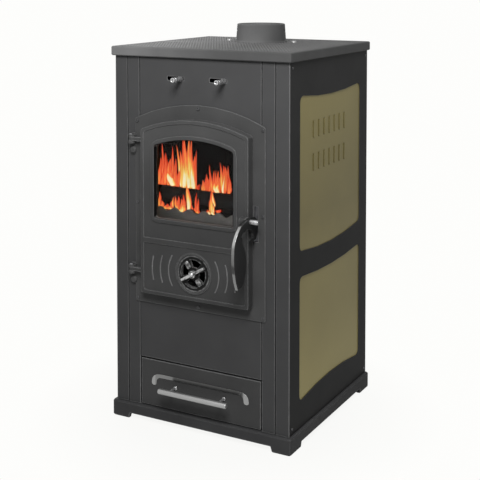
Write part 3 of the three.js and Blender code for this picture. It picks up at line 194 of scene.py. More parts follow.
def mapped(add, value, low, high, out_low, out_high):
    """Stretches a value from one range to another, clamped."""
    return add("ShaderNodeMapRange", {"Value": value, "From Min": low, "From Max": high,
                                      "To Min": out_low, "To Max": out_high}).outputs[0]


floor_mesh = bpy.data.meshes.new("floor_sheet")
corners = [(x * FLOOR_HALF, y * FLOOR_HALF, 0) for x, y in ((-1, -1), (1, -1), (1, 1), (-1, 1))]
floor_mesh.from_pydata(corners, [], [(0, 1, 2, 3)])
floor = bpy.data.objects.new("floor_sheet", floor_mesh)
scene.collection.objects.link(floor)
floor_paint = bpy.data.materials.new("floor_paint")
floor_paint.use_nodes = True
add = new_tree(floor_paint.node_tree)
place = add("ShaderNodeTexCoord").outputs["Object"]
reach = add("ShaderNodeVectorMath", {0: place}, operation="LENGTH").outputs["Value"]
share = mapped(add, reach, SHADOW_NEAR, SHADOW_FAR, 1 - FLOOR_SHADOW, 1)
lit = add("ShaderNodeBsdfDiffuse", {"Color": (0.8, 0.8, 0.79, 1)})
plain = add("ShaderNodeEmission", {"Color": STUDIO_WHITE})
both = add("ShaderNodeMixShader", {0: maths(add, "MULTIPLY", seen_ray(add), share),
                                   1: lit.outputs[0], 2: plain.outputs[0]})
add("ShaderNodeOutputMaterial", {"Surface": both.outputs[0]})
floor_mesh.materials.append(floor_paint)

# %% [markdown]
# ## Grain, clouds, and worn edges with painted highlights
# Three things make iron and paint look real at this scale: a fine sandy grain, slow clouds of
# lighter and darker tone, and pale outer edges. Those edges are partly wear, in patches where hands
# and tools have polished the surface, and partly a painted highlight, which the Evenness input lays
# unbroken along each outer edge in place of the light that a rounded edge catches. The grain,
# clouds and edges are built once as node groups with named inputs, and each finish uses them with
# its own values. An edge is found where a rounded normal leaves the real one. Only outer edges turn
# pale, so
# the group also looks inwards: near an outer edge, a short ray into the solid soon meets its far
# wall.

# %% Node groups for surfaces
EDGE_SAMPLES = 4
NORMALS_AGREE = (0.998, 0.96)  # from flat, where nothing wears, to an edge
SOLID_WITHIN = (0.99, 0.93)  # how free a ray runs inside, from deep iron to an outer edge
WORN_PATCHES = (0.35, 0.65)
FLOAT, VECTOR = "NodeSocketFloat", "NodeSocketVector"


def noise(add, place, scale, detail, roughness=0.5):
    """A noise value over a place."""
    return add("ShaderNodeTexNoise", {"Vector": place, "Scale": scale, "Detail": detail,
                                      "Roughness": roughness}).outputs["Fac"]


def node_group(kind, name, inputs, outputs):
    """A node group, the function that adds its nodes, and what it is given.

    Its inputs and outputs are rows of name, kind and, where it has one, the value at the start.
    """
    tree = bpy.data.node_groups.new(name, kind)
    for way, rows in (("INPUT", inputs), ("OUTPUT", outputs)):
        for label, socket_kind, *value in rows:
            socket = tree.interface.new_socket(name=label, in_out=way, socket_type=socket_kind)
            if value:
                socket.default_value = value[0]
    add = new_tree(tree)
    return tree, add, add("NodeGroupInput").outputs


grain_group, add, given = node_group(
    "ShaderNodeTree", "surface grain",
    [("Place", VECTOR), ("Grain scale", FLOAT, 900.0), ("Cloud scale", FLOAT, 9.0),
     ("Stretch", FLOAT, 1.0)],
    [("Grain", FLOAT), ("Cloud", FLOAT)])
squeeze = add("ShaderNodeCombineXYZ", {0: given["Stretch"], 1: 1, 2: 1}).outputs[0]
stretched = add("ShaderNodeVectorMath", {0: given["Place"], 1: squeeze}, operation="MULTIPLY")
add("NodeGroupOutput", {"Grain": noise(add, stretched.outputs[0], given["Grain scale"], 3, 0.6),
                        "Cloud": noise(add, given["Place"], given["Cloud scale"], 4)})

wear_and_highlight_group, add, given = node_group(
    "ShaderNodeTree", "scuffed and highlit edges",
    [("Place", VECTOR), ("Width", FLOAT, 0.002), ("Amount", FLOAT, 0.5),
     ("Evenness", FLOAT, 0.0)],
    [("Mask", FLOAT)])
real_normal = add("ShaderNodeNewGeometry").outputs["Normal"]
rounded = add("ShaderNodeBevel", {"Radius": given["Width"]}, samples=EDGE_SAMPLES).outputs[0]
agree = add("ShaderNodeVectorMath", {0: rounded, 1: real_normal}, operation="DOT_PRODUCT")
within = add("ShaderNodeAmbientOcclusion", {"Distance": given["Width"]}, samples=EDGE_SAMPLES,
             inside=True, only_local=True)
edge = mapped(add, agree.outputs["Value"], *NORMALS_AGREE, 0, 1)
outward = mapped(add, within.outputs["AO"], *SOLID_WITHIN, 0, 1)
broken = mapped(add, noise(add, given["Place"], 45, 4), *WORN_PATCHES, 0, 1)
# the patches are wear; Evenness lays a painted highlight unbroken along the whole edge
whole = maths(add, "MAXIMUM", broken, given["Evenness"])
mask = maths(add, "MULTIPLY", maths(add, "MULTIPLY", edge, outward), whole)
add("NodeGroupOutput", {"Mask": maths(add, "MULTIPLY", mask, given["Amount"])})
print("groups:", [tree.name for tree in bpy.data.node_groups])

# %% [markdown]
# ## One recipe for paint, iron and steel
# Most of the stove is painted sheet or bare casting. The recipe below starts with a base colour,
# lightens and darkens it by the clouds, and where asked multiplies it by a ramp of painted light
# and shade along one axis. It adds the grey of the pale outer edges, partly wear and partly painted
# highlight, and turns the grain into roughness and a shallow bump. Each finish is then one line of
# values.

# %% The recipe
GRAIN_HEIGHT = 0.4  # millimetres
NOISE_REACH = (0.3, 0.7)  # a noise texture seldom leaves this range


def material_nodes(name):
    """An empty material, the function that adds its nodes, and its object coordinates."""
    material = bpy.data.materials.new(name)
    material.use_nodes = True
    add = new_tree(material.node_tree)
    return material, add, add("ShaderNodeTexCoord").outputs["Object"]


def principled(add, inputs):
    """Ends a material in a Principled shader with the given inputs."""
    shader = add("ShaderNodeBsdfPrincipled", inputs)
    add("ShaderNodeOutputMaterial", {"Surface": shader.outputs[0]})


def xyz(add, place):
    """The outputs X, Y and Z of a place."""
    return add("ShaderNodeSeparateXYZ", {0: place}).outputs


def scaled(add, colour, factor):
    """A colour made darker or lighter by a factor."""
    return add("ShaderNodeVectorMath", {0: colour, "Scale": factor}, operation="SCALE").outputs[0]


def colour_mix(add, factor, *colours):
    """Mixes two colours, each an output or a plain value, by a factor."""
    first, second = [(*c, 1) if isinstance(c, tuple) else c for c in colours]
    return add("ShaderNodeMix", {"Factor": factor, 6: first, 7: second},
               data_type="RGBA").outputs[2]


def colour_ramp(add, value, stops):
    """A ramp of (position, colour) stops over a value from 0 to 1."""
    ramp = add("ShaderNodeValToRGB", {"Fac": value})
    elements = ramp.color_ramp.elements
    (start, first), *between, (stop, last) = stops
    elements[0].position, elements[1].position = start, stop
    elements[0].color, elements[1].color = (*first, 1), (*last, 1)
    for position, colour in between:
        elements.new(position).color = (*colour, 1)
    return ramp.outputs["Color"]


def texture_of(add, place, grain, cloud, stretch=1):
    """The outputs Grain and Cloud of the surface grain."""
    return add("ShaderNodeGroup", {"Place": place, "Grain scale": grain, "Cloud scale": cloud,
                                   "Stretch": stretch}, node_tree=grain_group).outputs


def edge_mask(add, place, width, amount, even_highlight):
    """The mask of the worn edges, with their width in millimetres."""
    # pale outer edges, partly wear and partly painted highlight
    return add("ShaderNodeGroup", {"Place": place, "Width": mm(width), "Amount": amount,
                                   "Evenness": even_highlight}, node_tree=wear_and_highlight_group).outputs["Mask"]


def bumped(add, height, strength, distance=GRAIN_HEIGHT):
    """The normal that a height over a distance in millimetres gives."""
    return add("ShaderNodeBump", {"Height": height, "Strength": strength,
                                  "Distance": mm(distance)}).outputs[0]


def grained(name, colour, rough, *, metal=0, cloud=0.12, cloud_scale=9, grain=900, depth=0.15,
            rough_swing=0.06, wear_and_highlight=0, wear_and_highlight_grey=0.3, wear_and_highlight_width=1.2, even_highlight=0, stretch=1, specular=0.5,
            painted_light_ramp=None):
    """A finish from the recipe. Widths and places are in millimetres.

    The colour is linear, and one number stands for a grey, as it does for the scuffed and highlit
    edges, which are partly scuffs and partly painted highlight. A painted light ramp is (axis,
    from, to, first factor, last factor), by which the colour is multiplied: painted light and
    shading along that axis.
    """
    colour = colour if isinstance(colour, tuple) else (colour,) * 3
    material, add, place = material_nodes(name)
    texture = texture_of(add, place, grain, cloud_scale, stretch)
    darker = tuple(value * (1 - cloud) for value in colour)
    lighter = tuple(min(value * (1 + cloud), 1) for value in colour)
    tone = colour_mix(add, mapped(add, texture["Cloud"], *NOISE_REACH, 0, 1), darker, lighter)
    # painted light and shade: the colour is multiplied by a ramp along one axis
    if painted_light_ramp:
        axis, start, stop, first, last = painted_light_ramp
        along = xyz(add, place)[axis]
        tone = scaled(add, tone, mapped(add, along, mm(start), mm(stop), first, last))
    if wear_and_highlight:
        tone = colour_mix(add, edge_mask(add, place, wear_and_highlight_width, wear_and_highlight, even_highlight), tone, (wear_and_highlight_grey,) * 3)
    low, high = max(rough - rough_swing, 0.02), min(rough + rough_swing, 1)
    principled(add, {"Base Color": tone, "Metallic": metal, "Specular IOR Level": specular,
                     "Roughness": mapped(add, texture["Grain"], *NOISE_REACH, low, high),
                     "Normal": bumped(add, texture["Grain"], depth)})
    return material


# %% [markdown]
# ## The finishes
# The casing is painted: charcoal at the front, satin black at the sides, and an olive bronze on
# the inlays behind the side windows. The castings keep a matt sandy skin, and their outer edges
# are pale, partly from wear and partly as a painted highlight. Ramps of painted light and shade
# make the front, the door, its frame and the black casing lighter towards the top, and the top
# plate and the collar lighter towards the left. The firebox is sooty, and the small fittings are
# chrome or plain steel.

# %% Paint, iron and steel
finishes = {
    "plinth_iron": grained("plinth iron", (0.046, 0.046, 0.047), 0.62, grain=700, depth=0.35,
                           specular=0.05, wear_and_highlight=1, wear_and_highlight_grey=0.3, wear_and_highlight_width=3.5, even_highlight=0.7),
    # painted light and shade: lighter towards the top
    "casing_black": grained("satin black paint", 0.022, 0.5, grain=1200, specular=0.03,
                            wear_and_highlight=0.7, wear_and_highlight_grey=0.12, wear_and_highlight_width=2, even_highlight=0.6,
                            painted_light_ramp=("Z", 450, 980, 0.78, 1.25)),
    # painted shade: darker towards the foot
    "front_enamel": grained("charcoal paint", (0.068, 0.068, 0.069), 0.55, grain=1200,
                            specular=0.05, cloud=0.06, wear_and_highlight=1, wear_and_highlight_grey=0.24, wear_and_highlight_width=3,
                            even_highlight=0.75, painted_light_ramp=("Z", 450, 800, 0.8, 1.0)),
    "drawer_enamel": grained("drawer paint", 0.052, 0.5, grain=1200, cloud=0.08, specular=0.05,
                             wear_and_highlight=1, wear_and_highlight_grey=0.24, wear_and_highlight_width=3, even_highlight=0.75),
    # painted light and shade: lighter towards the left, darker towards the right
    "top_iron": grained("top plate iron", 0.135, 0.6, grain=650, depth=0.3, specular=0.05,
                        cloud=0.1, wear_and_highlight=0.5, wear_and_highlight_grey=0.24, even_highlight=0.4,
                        painted_light_ramp=("X", -220, 60, 1.4, 0.66)),
    # painted light and shade: lighter on the left, darker on the right
    "collar_iron": grained("collar iron", 0.165, 0.5, grain=600, depth=0.35, specular=0.04,
                           wear_and_highlight=0.4, wear_and_highlight_grey=0.28, even_highlight=0.4, painted_light_ramp=("X", -20, 75, 1.0, 0.55)),
    # painted shade: darker towards the foot
    "frame_iron": grained("frame iron", 0.074, 0.5, grain=650, depth=0.35, specular=0.05,
                          wear_and_highlight=0.9, wear_and_highlight_grey=0.22, wear_and_highlight_width=3, even_highlight=0.6,
                          painted_light_ramp=("Z", 560, 820, 0.85, 1.0)),
    # painted shade: darker towards the foot
    "door_iron": grained("door iron", 0.074, 0.47, grain=650, depth=0.35, specular=0.06,
                         wear_and_highlight=1, wear_and_highlight_grey=0.34, wear_and_highlight_width=3, even_highlight=0.7,
                         painted_light_ramp=("Z", 560, 820, 0.7, 1.0)),
    "lever_iron": grained("lever iron", 0.022, 0.35, grain=500, specular=0.1,
                          wear_and_highlight=0.5, wear_and_highlight_grey=0.12, wear_and_highlight_width=2, even_highlight=0.5),
    "firebox_plate": grained("sooty plate", (0.007, 0.01, 0.011), 0.85, grain=400, depth=0.5,
                             cloud=0.5, cloud_scale=14, specular=0.05),
    "grate_iron": grained("burnt iron", (0.1, 0.098, 0.096), 0.8, grain=350, depth=0.6,
                          cloud=0.25, cloud_scale=22, specular=0.2),
    "pan_steel": grained("bare sheet", (0.3, 0.3, 0.31), 0.42, metal=1, grain=500, depth=0.08,
                         stretch=0.1, cloud=0.15),
    "frame_screw_steel": grained("blackened screw", (0.05, 0.05, 0.052), 0.42, metal=0.3,
                                 wear_and_highlight=0.5, wear_and_highlight_grey=0.25, wear_and_highlight_width=0.6),
    "hinge_pin_steel": grained("pin steel", (0.25, 0.25, 0.26), 0.35, metal=1, grain=700,
                               depth=0.08),
    "retainer_steel": grained("retainer steel", (0.16, 0.155, 0.15), 0.5, metal=1, grain=500,
                              depth=0.2, cloud=0.3),
    "plate_screw_steel": grained("bright screw", 0.36, 0.5, metal=0.6, depth=0.03),
    "polished_chrome": grained("chrome", (0.48, 0.48, 0.485), 0.27, metal=0.72, grain=300,
                               depth=0.01, rough_swing=0.05, cloud=0.35, cloud_scale=90),
    "satin_bar": grained("satin steel", 0.36, 0.32, metal=0.7, grain=1500, depth=0.08,
                         stretch=0.03, cloud=0.05, specular=0.3),
    "fire_brick": grained("sooty brick", (0.013, 0.02, 0.023), 0.9, grain=260, depth=0.7,
                          cloud=0.55, cloud_scale=11, specular=0.05),
    "gasket_fibre": grained("glass fibre", (0.35, 0.34, 0.31), 0.95, grain=1400, depth=0.9,
                            stretch=3, specular=0.2),
}

# %% [markdown]
# ## Olive bronze
# The inlays behind the side windows carry a satin olive paint with a trace of bronze. A ramp over
# the height paints light and shade into it: lighter towards its top and its foot, darkest over the
# waist, with slow clouds on top. A painted shade darkens the hollows at the louvres, where the
# Ambient Occlusion node finds little open sky.

# %% Olive paint
# painted shade, not soot, darkens the hollows out to this many millimetres
LOUVRE_SHADE_REACH = 9  # millimetres that soot reaches from a hollow
OLIVE_CLOUD = 0.08
OLIVE_DARK, OLIVE_PALE = (0.17, 0.143, 0.058), (0.33, 0.28, 0.112)
OLIVE_PAINTED_LIGHT = ((100, 0.95), (184, 0.88), (320, 0.55), (450, 0.55), (606, 0.2), (742, 0.4),
              (905, 0.65), (960, 0.75))
finishes["olive_enamel"], add, place = material_nodes("olive bronze paint")
texture = texture_of(add, place, 1100, 6)
# painted light and shade over the height
painted_light_share = colour_ramp(add, xyz(add, place)["Z"], [(mm(z), (share,) * 3) for z, share in OLIVE_PAINTED_LIGHT])
cloud = mapped(add, texture["Cloud"], *NOISE_REACH, -OLIVE_CLOUD, OLIVE_CLOUD)
paint = colour_mix(add, maths(add, "ADD", painted_light_share, cloud), OLIVE_DARK, OLIVE_PALE)
# painted shade in the hollows at the louvres
sky = add("ShaderNodeAmbientOcclusion", {"Distance": mm(LOUVRE_SHADE_REACH)}, only_local=True)
principled(add, {
    "Base Color": scaled(add, paint, mapped(add, sky.outputs["AO"], 0.55, 0.97, 0.15, 1)),
    "Metallic": 0.1, "Specular IOR Level": 0.06,
    "Roughness": mapped(add, texture["Grain"], *NOISE_REACH, 0.3, 0.42),
    "Normal": bumped(add, texture["Grain"], 0.08)})

# %% [markdown]
# ## Window glass
# The pane is heat-proof ceramic glass. It looks black because the firebox behind it is dark. A low
# reflection keeps the white room out of it, and a thin film of soot dims it in patches.

# %% Glass
SOOTY_PANE, CLEAN_PANE = (0.6, 0.62, 0.62), (0.84, 0.86, 0.86)
finishes["window_glass"], add, place = material_nodes("window glass")
texture = texture_of(add, place, 60, 12)
film = mapped(add, texture["Cloud"], 0.3, 0.75, 1, 0)
principled(add, {
    "Base Color": colour_mix(add, film, SOOTY_PANE, CLEAN_PANE),
    "Roughness": mapped(add, texture["Grain"], *NOISE_REACH, 0.02, 0.05),
    "Transmission Weight": 1, "Specular IOR Level": 0.2, "IOR": 1.15})

# %% [markdown]
# ## Bare metal, painted glints, highlights and reflections
# Three fittings change their look along their own length. The spinner's disc is black, while its
# lips, pads and grip, all in front of the disc's face, are pale bare metal, with painted glints in
# patches over them and a painted highlight round the disc's rim. The lever's chrome edge carries a
# painted reflection, brightest near its top with a dark gap lower down. The drawer's band has a
# dark middle strip and pale leaf-shaped ends, and the steps of grey along it are a painted
# reflection.
# Each material reads one coordinate of its piece and turns it into a colour with a ramp.

# %% Spinner, lever edge and band
SPINNER_FACE = -230.8
# the painted highlight round the disc's rim begins between these radii
SPINNER_RIM = (45.5, 47)  # the radii between which the disc's rim begins to shine
# EDGE_BRIGHT is the grey of the pale edges of the lever's chrome and the band, partly wear and
# partly painted highlight
DISC_BLACK, GRIP_BRIGHT, EDGE_BRIGHT = (0.013,) * 3, (0.5,) * 3, (0.4,) * 3


def toned(name, axis, tones):
    """A polished metal whose grey follows a ramp along an axis: tones are (millimetres, grey)."""
    material, add, place = material_nodes(name)
    start, stop = tones[0][0], tones[-1][0]
    # painted reflection: the grey follows a ramp along the axis
    along = mapped(add, xyz(add, place)[axis], mm(start), mm(stop), 0, 1)
    ramp = colour_ramp(add, along, [((position - start) / (stop - start), (grey,) * 3)
                                    for position, grey in tones])
    # pale edges, partly wear and partly painted highlight
    tone = colour_mix(add, edge_mask(add, place, 1, 0.6, 0.5), ramp, EDGE_BRIGHT)
    principled(add, {"Base Color": tone, "Metallic": 1, "Roughness": 0.2})
    return material


# painted reflection on the lever's chrome edge: brightest near its top, a dark gap lower down
lever_chrome = toned("lever chrome", "Z", (
    (449, 0.22), (493, 0.2), (498, 0.06), (513, 0.06), (520, 0.14), (560, 0.22), (572, 0.45),
    (598, 0.5), (608, 0.3), (622, 0.3)))
# the band: dark middle strip and pale leaf-shaped ends; the steps of grey are a painted reflection
finishes["polished_trim"] = toned("polished band", "X", (
    (-155, 0.3), (-144, 0.3), (-140, 0.2), (-88, 0.18), (-80, 0.085), (134, 0.085), (139, 0.3),
    (155, 0.3)))

finishes["spinner_iron"], add, place = material_nodes("spinner iron")
parts = xyz(add, place)
# pale bare metal on the lips, pads and grip, which stand proud of the disc
proud = mapped(add, parts["Y"], mm(SPINNER_FACE - 1), mm(SPINNER_FACE - 9), 0.25, 1)
above = mapped(add, parts["Y"], mm(SPINNER_FACE - 0.7), mm(SPINNER_FACE - 1.2), 0, 1)
across = add("ShaderNodeCombineXYZ", {"X": parts["X"], "Z": parts["Z"]}).outputs[0]
axis = (0, 0, middle_of("air_spinner").z)
from_axis = add("ShaderNodeVectorMath", {0: across, 1: axis}, operation="DISTANCE")
# painted highlight round the disc's rim
rim_highlight = mapped(add, from_axis.outputs["Value"], *[mm(r) for r in SPINNER_RIM], 0, 0.5)
raised = maths(add, "MAXIMUM", maths(add, "MULTIPLY", proud, above), rim_highlight)
# painted glints in patches over the pale metal
glint_patches = mapped(add, noise(add, place, 130, 3), 0.42, 0.6, 0.15, 1)
bright = maths(add, "MULTIPLY", raised, glint_patches)
polish_and_highlight = maths(add, "MAXIMUM", bright, edge_mask(add, place, 1.3, 0.5, 0.1))
principled(add, {
    "Base Color": colour_mix(add, polish_and_highlight, DISC_BLACK, GRIP_BRIGHT), "Specular IOR Level": 0.06,
    "Metallic": mapped(add, polish_and_highlight, 0, 1, 0, 0.8),
    "Roughness": mapped(add, polish_and_highlight, 0, 1, 0.5, 0.3)})

# %% [markdown]
# ## Give every solid its finish
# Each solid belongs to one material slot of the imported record. A solid whose shape is right keeps
# its mesh and only gets a better material.

# %% Finishes on the solids
for part in frame["record"]["subparts"]:
    obj = nodes[part["node"]]
    for material_slot in obj.material_slots:
        material_slot.material = finishes[part["material_slot"]]

# %% [markdown]
# ## How a piece joins the stove
# Every new piece is a plain mesh with its place in its points. It rides on a body, takes its
# finish from a material slot, and may stand for a solid that it hides.

# %% Helper for new pieces


def add_piece(name, mesh, body, slot_name, material=None, replaced=()):
    """Puts a mesh into the scene as a piece of the stove."""
    obj = bpy.data.objects.new(name, mesh)
    scene.collection.objects.link(obj)
    if not mesh.materials:
        mesh.materials.append(material or finishes[slot_name])
    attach(obj, body)
    if replaced:
        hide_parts(*replaced)


def mesh_from(name, build, smooth=True):
    """Makes a mesh by handing an empty bmesh to a function."""
    bm = bmesh.new()
    build(bm)
    mesh = bpy.data.meshes.new(name)
    bm.to_mesh(mesh)
    bm.free()
    if smooth:
        mesh.shade_smooth()
    return mesh


# %% [markdown]
# ## Edges that catch the light
# No edge on a real stove is knife sharp. Sheet is folded, castings are fettled, and the thin line
# of light along each edge tells the eye where a panel ends. A solid from CAD is a heap of loose
# triangles, so a copy of it is joined and cleaned first. Then a Bevel modifier rounds each edge by
# a named width, and weighted normals keep the large flat faces flat.

# %% Round the edges of the solids
EDGE_ROUNDING = {  # millimetres
    "base_plinth": 1.2, "top_plate": 0.8,
    "front_post_left": 0.7, "front_post_right": 0.7, "front_stile_left": 0.7,
    "front_stile_right": 0.7, "front_panel_upper": 0.7, "front_panel_lower": 0.7,
    "side_panel_left": 0.5, "side_panel_right": 0.5, "side_inlay_left": 0.4,
    "side_inlay_right": 0.4, "rear_panel": 0.5, "door_frame": 0.9, "door_leaf": 0.8,
    "air_spinner": 0.5, "door_handle": 0.9, "handle_rim": 0.4, "drawer_front": 0.9,
    "drawer_trim": 0.4, "latch_keeper": 0.3,
}
JOINED_WITHIN, FLAT_WITHIN = mm(0.005), math.radians(0.5)
ROUNDED_FROM, SHARP_FROM = math.radians(35), math.radians(50)
body_of = {node: body for body, members in frame["record"]["behaviour"]["bodies"].items()
           for node in members}
slot_of = {part["node"]: part["material_slot"] for part in frame["record"]["subparts"]}
own_finish = {"handle_rim": lever_chrome}


def joined_copy(name):
    """A solid's mesh with its triangles joined and its flat faces made whole."""
    def build(bm):
        bm.from_mesh(nodes[name].data)
        bmesh.ops.remove_doubles(bm, verts=bm.verts, dist=JOINED_WITHIN)
        bmesh.ops.dissolve_limit(bm, angle_limit=FLAT_WITHIN, verts=bm.verts, edges=bm.edges)

    mesh = mesh_from(name + "_joined", build)
    mesh.materials.append(own_finish.get(name, finishes[slot_of[name]]))
    return mesh


def modified(mesh, kind, sockets=(), **values):
    """A mesh as one modifier leaves it, with its values and its tree's sockets by their names."""
    blank = bpy.data.objects.new("blank", mesh)
    scene.collection.objects.link(blank)
    modifier = blank.modifiers.new("step", kind)
    for key, value in values.items():
        setattr(modifier, key, value)
    for item in modifier.node_group.interface.items_tree if sockets else ():
        if item.in_out == "INPUT" and item.name in sockets:
            modifier[item.identifier] = sockets[item.name]
    scene_graph = bpy.context.evaluated_depsgraph_get()
    result = bpy.data.meshes.new_from_object(blank.evaluated_get(scene_graph))
    bpy.data.objects.remove(blank)
    return result


def eased(mesh, width):
    """A mesh with every edge rounded by a width in metres."""
    mesh = modified(mesh, "BEVEL", width=width, segments=2, limit_method="ANGLE",
                    angle_limit=ROUNDED_FROM)
    mesh.set_sharp_from_angle(angle=SHARP_FROM)
    return modified(mesh, "WEIGHTED_NORMAL", mode="FACE_AREA", weight=90, keep_sharp=True)


for name, width in EDGE_ROUNDING.items():
    add_piece(name + "_eased", eased(joined_copy(name), mm(width)), body_of[name],
              slot_of[name], replaced=(name,))
print("eased:", len(EDGE_ROUNDING), "solids")

# %% [markdown]
# ## Turned parts
# The collar, the air rods, the drawer's bar and its posts, the hinge pins and the lever's pin all
# come off a lathe, or look as if they did. Each is drawn as half of its cross section: pairs of
# radius and distance along the axis. Spinning that line in 64 steps closes it into a solid, with
# a pole wherever the radius is zero. The centres come from the boxes of the solids.

# %% Spin profiles
TURN_SIDES = 64
X, Y, Z = Vector((1, 0, 0)), Vector((0, 1, 0)), Vector((0, 0, 1))
ACROSS = {"x": (Y, Z, X), "y": (X, Z, Y), "z": (X, Y, Z)}


def skin(bm, rings):
    """Closes the space between each ring of points and the next; a pole is a ring of one."""
    for near, far in zip(rings, rings[1:]):
        sides = max(len(near), len(far))
        for i in range(sides):
            j = (i + 1) % sides
            bm.faces.new(list(dict.fromkeys((near[i % len(near)], near[j % len(near)],
                                             far[j % len(far)], far[i % len(far)]))))


def spin(bm, profile, centre, axis):
    """Adds a profile, spun about an axis through a centre: radius and distance in millimetres."""
    one, two, along = ACROSS[axis]
    rings = []
    for radius, distance in profile:
        sides = TURN_SIDES if radius else 1
        ring = []
        for i in range(sides):
            angle = 2 * math.pi * i / sides
            spoke = one * math.cos(angle) + two * math.sin(angle)
            ring.append(bm.verts.new(centre + along * mm(distance) + spoke * mm(radius)))
        rings.append(ring)
    skin(bm, rings)
    bmesh.ops.remove_doubles(bm, verts=bm.verts, dist=mm(0.001))
    bmesh.ops.recalc_face_normals(bm, faces=bm.faces)


def turned(name, profile, centre, axis):
    """A spun mesh whose corners of more than 30 degrees stay crisp."""
    mesh = mesh_from(name, lambda bm: spin(bm, profile, centre, axis))
    mesh.set_sharp_from_angle(angle=math.radians(30))
    return mesh


def replace_turned(node, profile, axis, start):
    """Puts a spun piece in a solid's place; distances count from a start along its axis."""
    centre = middle_of(node)
    centre["xyz".index(axis)] = start
    mesh = turned(node + "_turned", profile, centre, axis)
    add_piece(node + "_turned", mesh, body_of[node], slot_of[node], replaced=(node,))


casing_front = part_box("front_panel_upper")[0].y
plate_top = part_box("top_plate")[1].z
COLLAR = ((64, -86), (67.7, -86), (67.7, 0.3), (77.3, 0.3), (77.3, 1.2), (76.6, 2.4), (75.4, 3.3),
          (74.6, 4.6), (74.3, 6.5), (71.4, 48), (71.4, 50.4), (70.9, 52.3), (69.7, 53.5),
          (68.4, 54), (66.6, 54), (65.2, 53.3), (64.3, 52.2), (64, 50.6), (64, -86))
replace_turned("flue_collar", COLLAR, "z", plate_top)
ROD = ((0, 4.4), (3.4, 4.4), (3.4, -1.5), (6.5, -1.5), (6.5, -36), (5.9, -36.6), (5.9, -37.6),
       (6.5, -38.2), (6.5, -44.9), (6.2, -45.6), (5.5, -46), (4.3, -46), (3.6, -45.5),
       (3.2, -44.6), (3.0, -40.5), (0, -40))
for side in ("left", "right"):
    replace_turned(f"damper_rod_{side}", ROD, "y", casing_front)
    replace_turned(f"drawer_post_{side}", (
        (0, 4), (2.6, 4), (2.6, -0.3), (5.2, -0.3), (5.2, -1.4), (4.7, -2), (3.4, -2.2),
        (3.2, -25.5), (3.6, -26.2), (3.6, -30.6), (3.3, -31.2), (0, -31.2)), "y", casing_front)
BAR = ((0, -107), (5.6, -107), (6.6, -106.7), (7.2, -106), (7.5, -105))
replace_turned("drawer_bar", BAR + tuple((radius, -x) for radius, x in BAR[::-1]), "x", 0)
replace_turned("handle_pin", (
    (0, -29.3), (4.9, -29.3), (4.9, 0.5), (6.5, 0.5), (6.5, 19.4), (6.1, 20.2), (6.1, 20.9),
    (6.5, 21.6), (6.5, 22.4), (6.1, 23.1), (5.2, 23.5), (0, 23.5)), "x",
    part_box("door_handle")[1].x)
for end in ("lower", "upper"):
    pin_low, pin_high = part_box(f"hinge_pin_{end}")
    length = (pin_high.z - pin_low.z) / MM
    head = ((6, length - 3), (6, length - 1.4), (5.2, length - 0.5), (3.4, length - 0.05),
            (0, length))
    replace_turned(f"hinge_pin_{end}", ((0, 0), (3.6, 0), (4, 0.4), (4, length - 3)) + head,
                   "z", pin_low.z)
bolt_low, bolt_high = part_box("spinner_bolt")
length = (bolt_high.y - bolt_low.y) / MM
replace_turned("spinner_bolt", (
    (0, 0), (1.6, 0), (2.0, 0.9), (3.6, 0.2), (4.6, 1.0), (5, 2.2), (5, 3), (2.5, 3),
    (2.5, length), (0, length)), "y", bolt_low.y)
print("turned parts ready")

# %% [markdown]
# ## Repeats by Geometry Nodes
# Screws and studs are one small shape set down many times, which is what Geometry Nodes are for.
# The first tree takes points and sets a screw head on each, facing one way and turned by a seeded
# random angle. The second makes the staggered rows of studs on the top plate and leaves out those
# that would run under the collar. Both trees realize their instances and set a material, and the
# result is kept as a plain mesh.

# %% Trees for screws and studs
MATERIAL, WHOLE = "NodeSocketMaterial", "NodeSocketInt"
SHAPE = ("Geometry", "NodeSocketGeometry")
STUD_SIDES, STUD_OVAL = 8, (0.8, 1.35, 1)


def finish_tree(add, shape, finish):
    """Ends a tree: real meshes instead of instances, and one material."""
    real = add("GeometryNodeRealizeInstances", {"Geometry": shape}).outputs[0]
    painted = add("GeometryNodeSetMaterial", {"Geometry": real, "Material": finish})
    add("NodeGroupOutput", {"Geometry": painted.outputs[0]})


screw_tree, add, given = node_group("GeometryNodeTree", "screws on points", [
    SHAPE, ("Head", "NodeSocketObject"), ("Facing", VECTOR), ("Seed", WHOLE, 3),
    ("Finish", MATERIAL)], [SHAPE])
head = add("GeometryNodeObjectInfo", {"Object": given["Head"], "As Instance": True})
facing = add("FunctionNodeEulerToRotation", {0: given["Facing"]})
placed = add("GeometryNodeInstanceOnPoints", {
    "Points": given["Geometry"], "Instance": head.outputs["Geometry"],
    "Rotation": facing.outputs[0]})
chance = add("FunctionNodeRandomValue", {3: 2 * math.pi, "Seed": given["Seed"]},
             data_type="FLOAT")
spun_by = add("ShaderNodeCombineXYZ", {"Z": chance.outputs[1]})
spun = add("FunctionNodeEulerToRotation", {0: spun_by.outputs[0]})
heads = add("GeometryNodeRotateInstances", {"Instances": placed.outputs["Instances"],
                                            "Rotation": spun.outputs[0]})
finish_tree(add, heads.outputs["Instances"], given["Finish"])

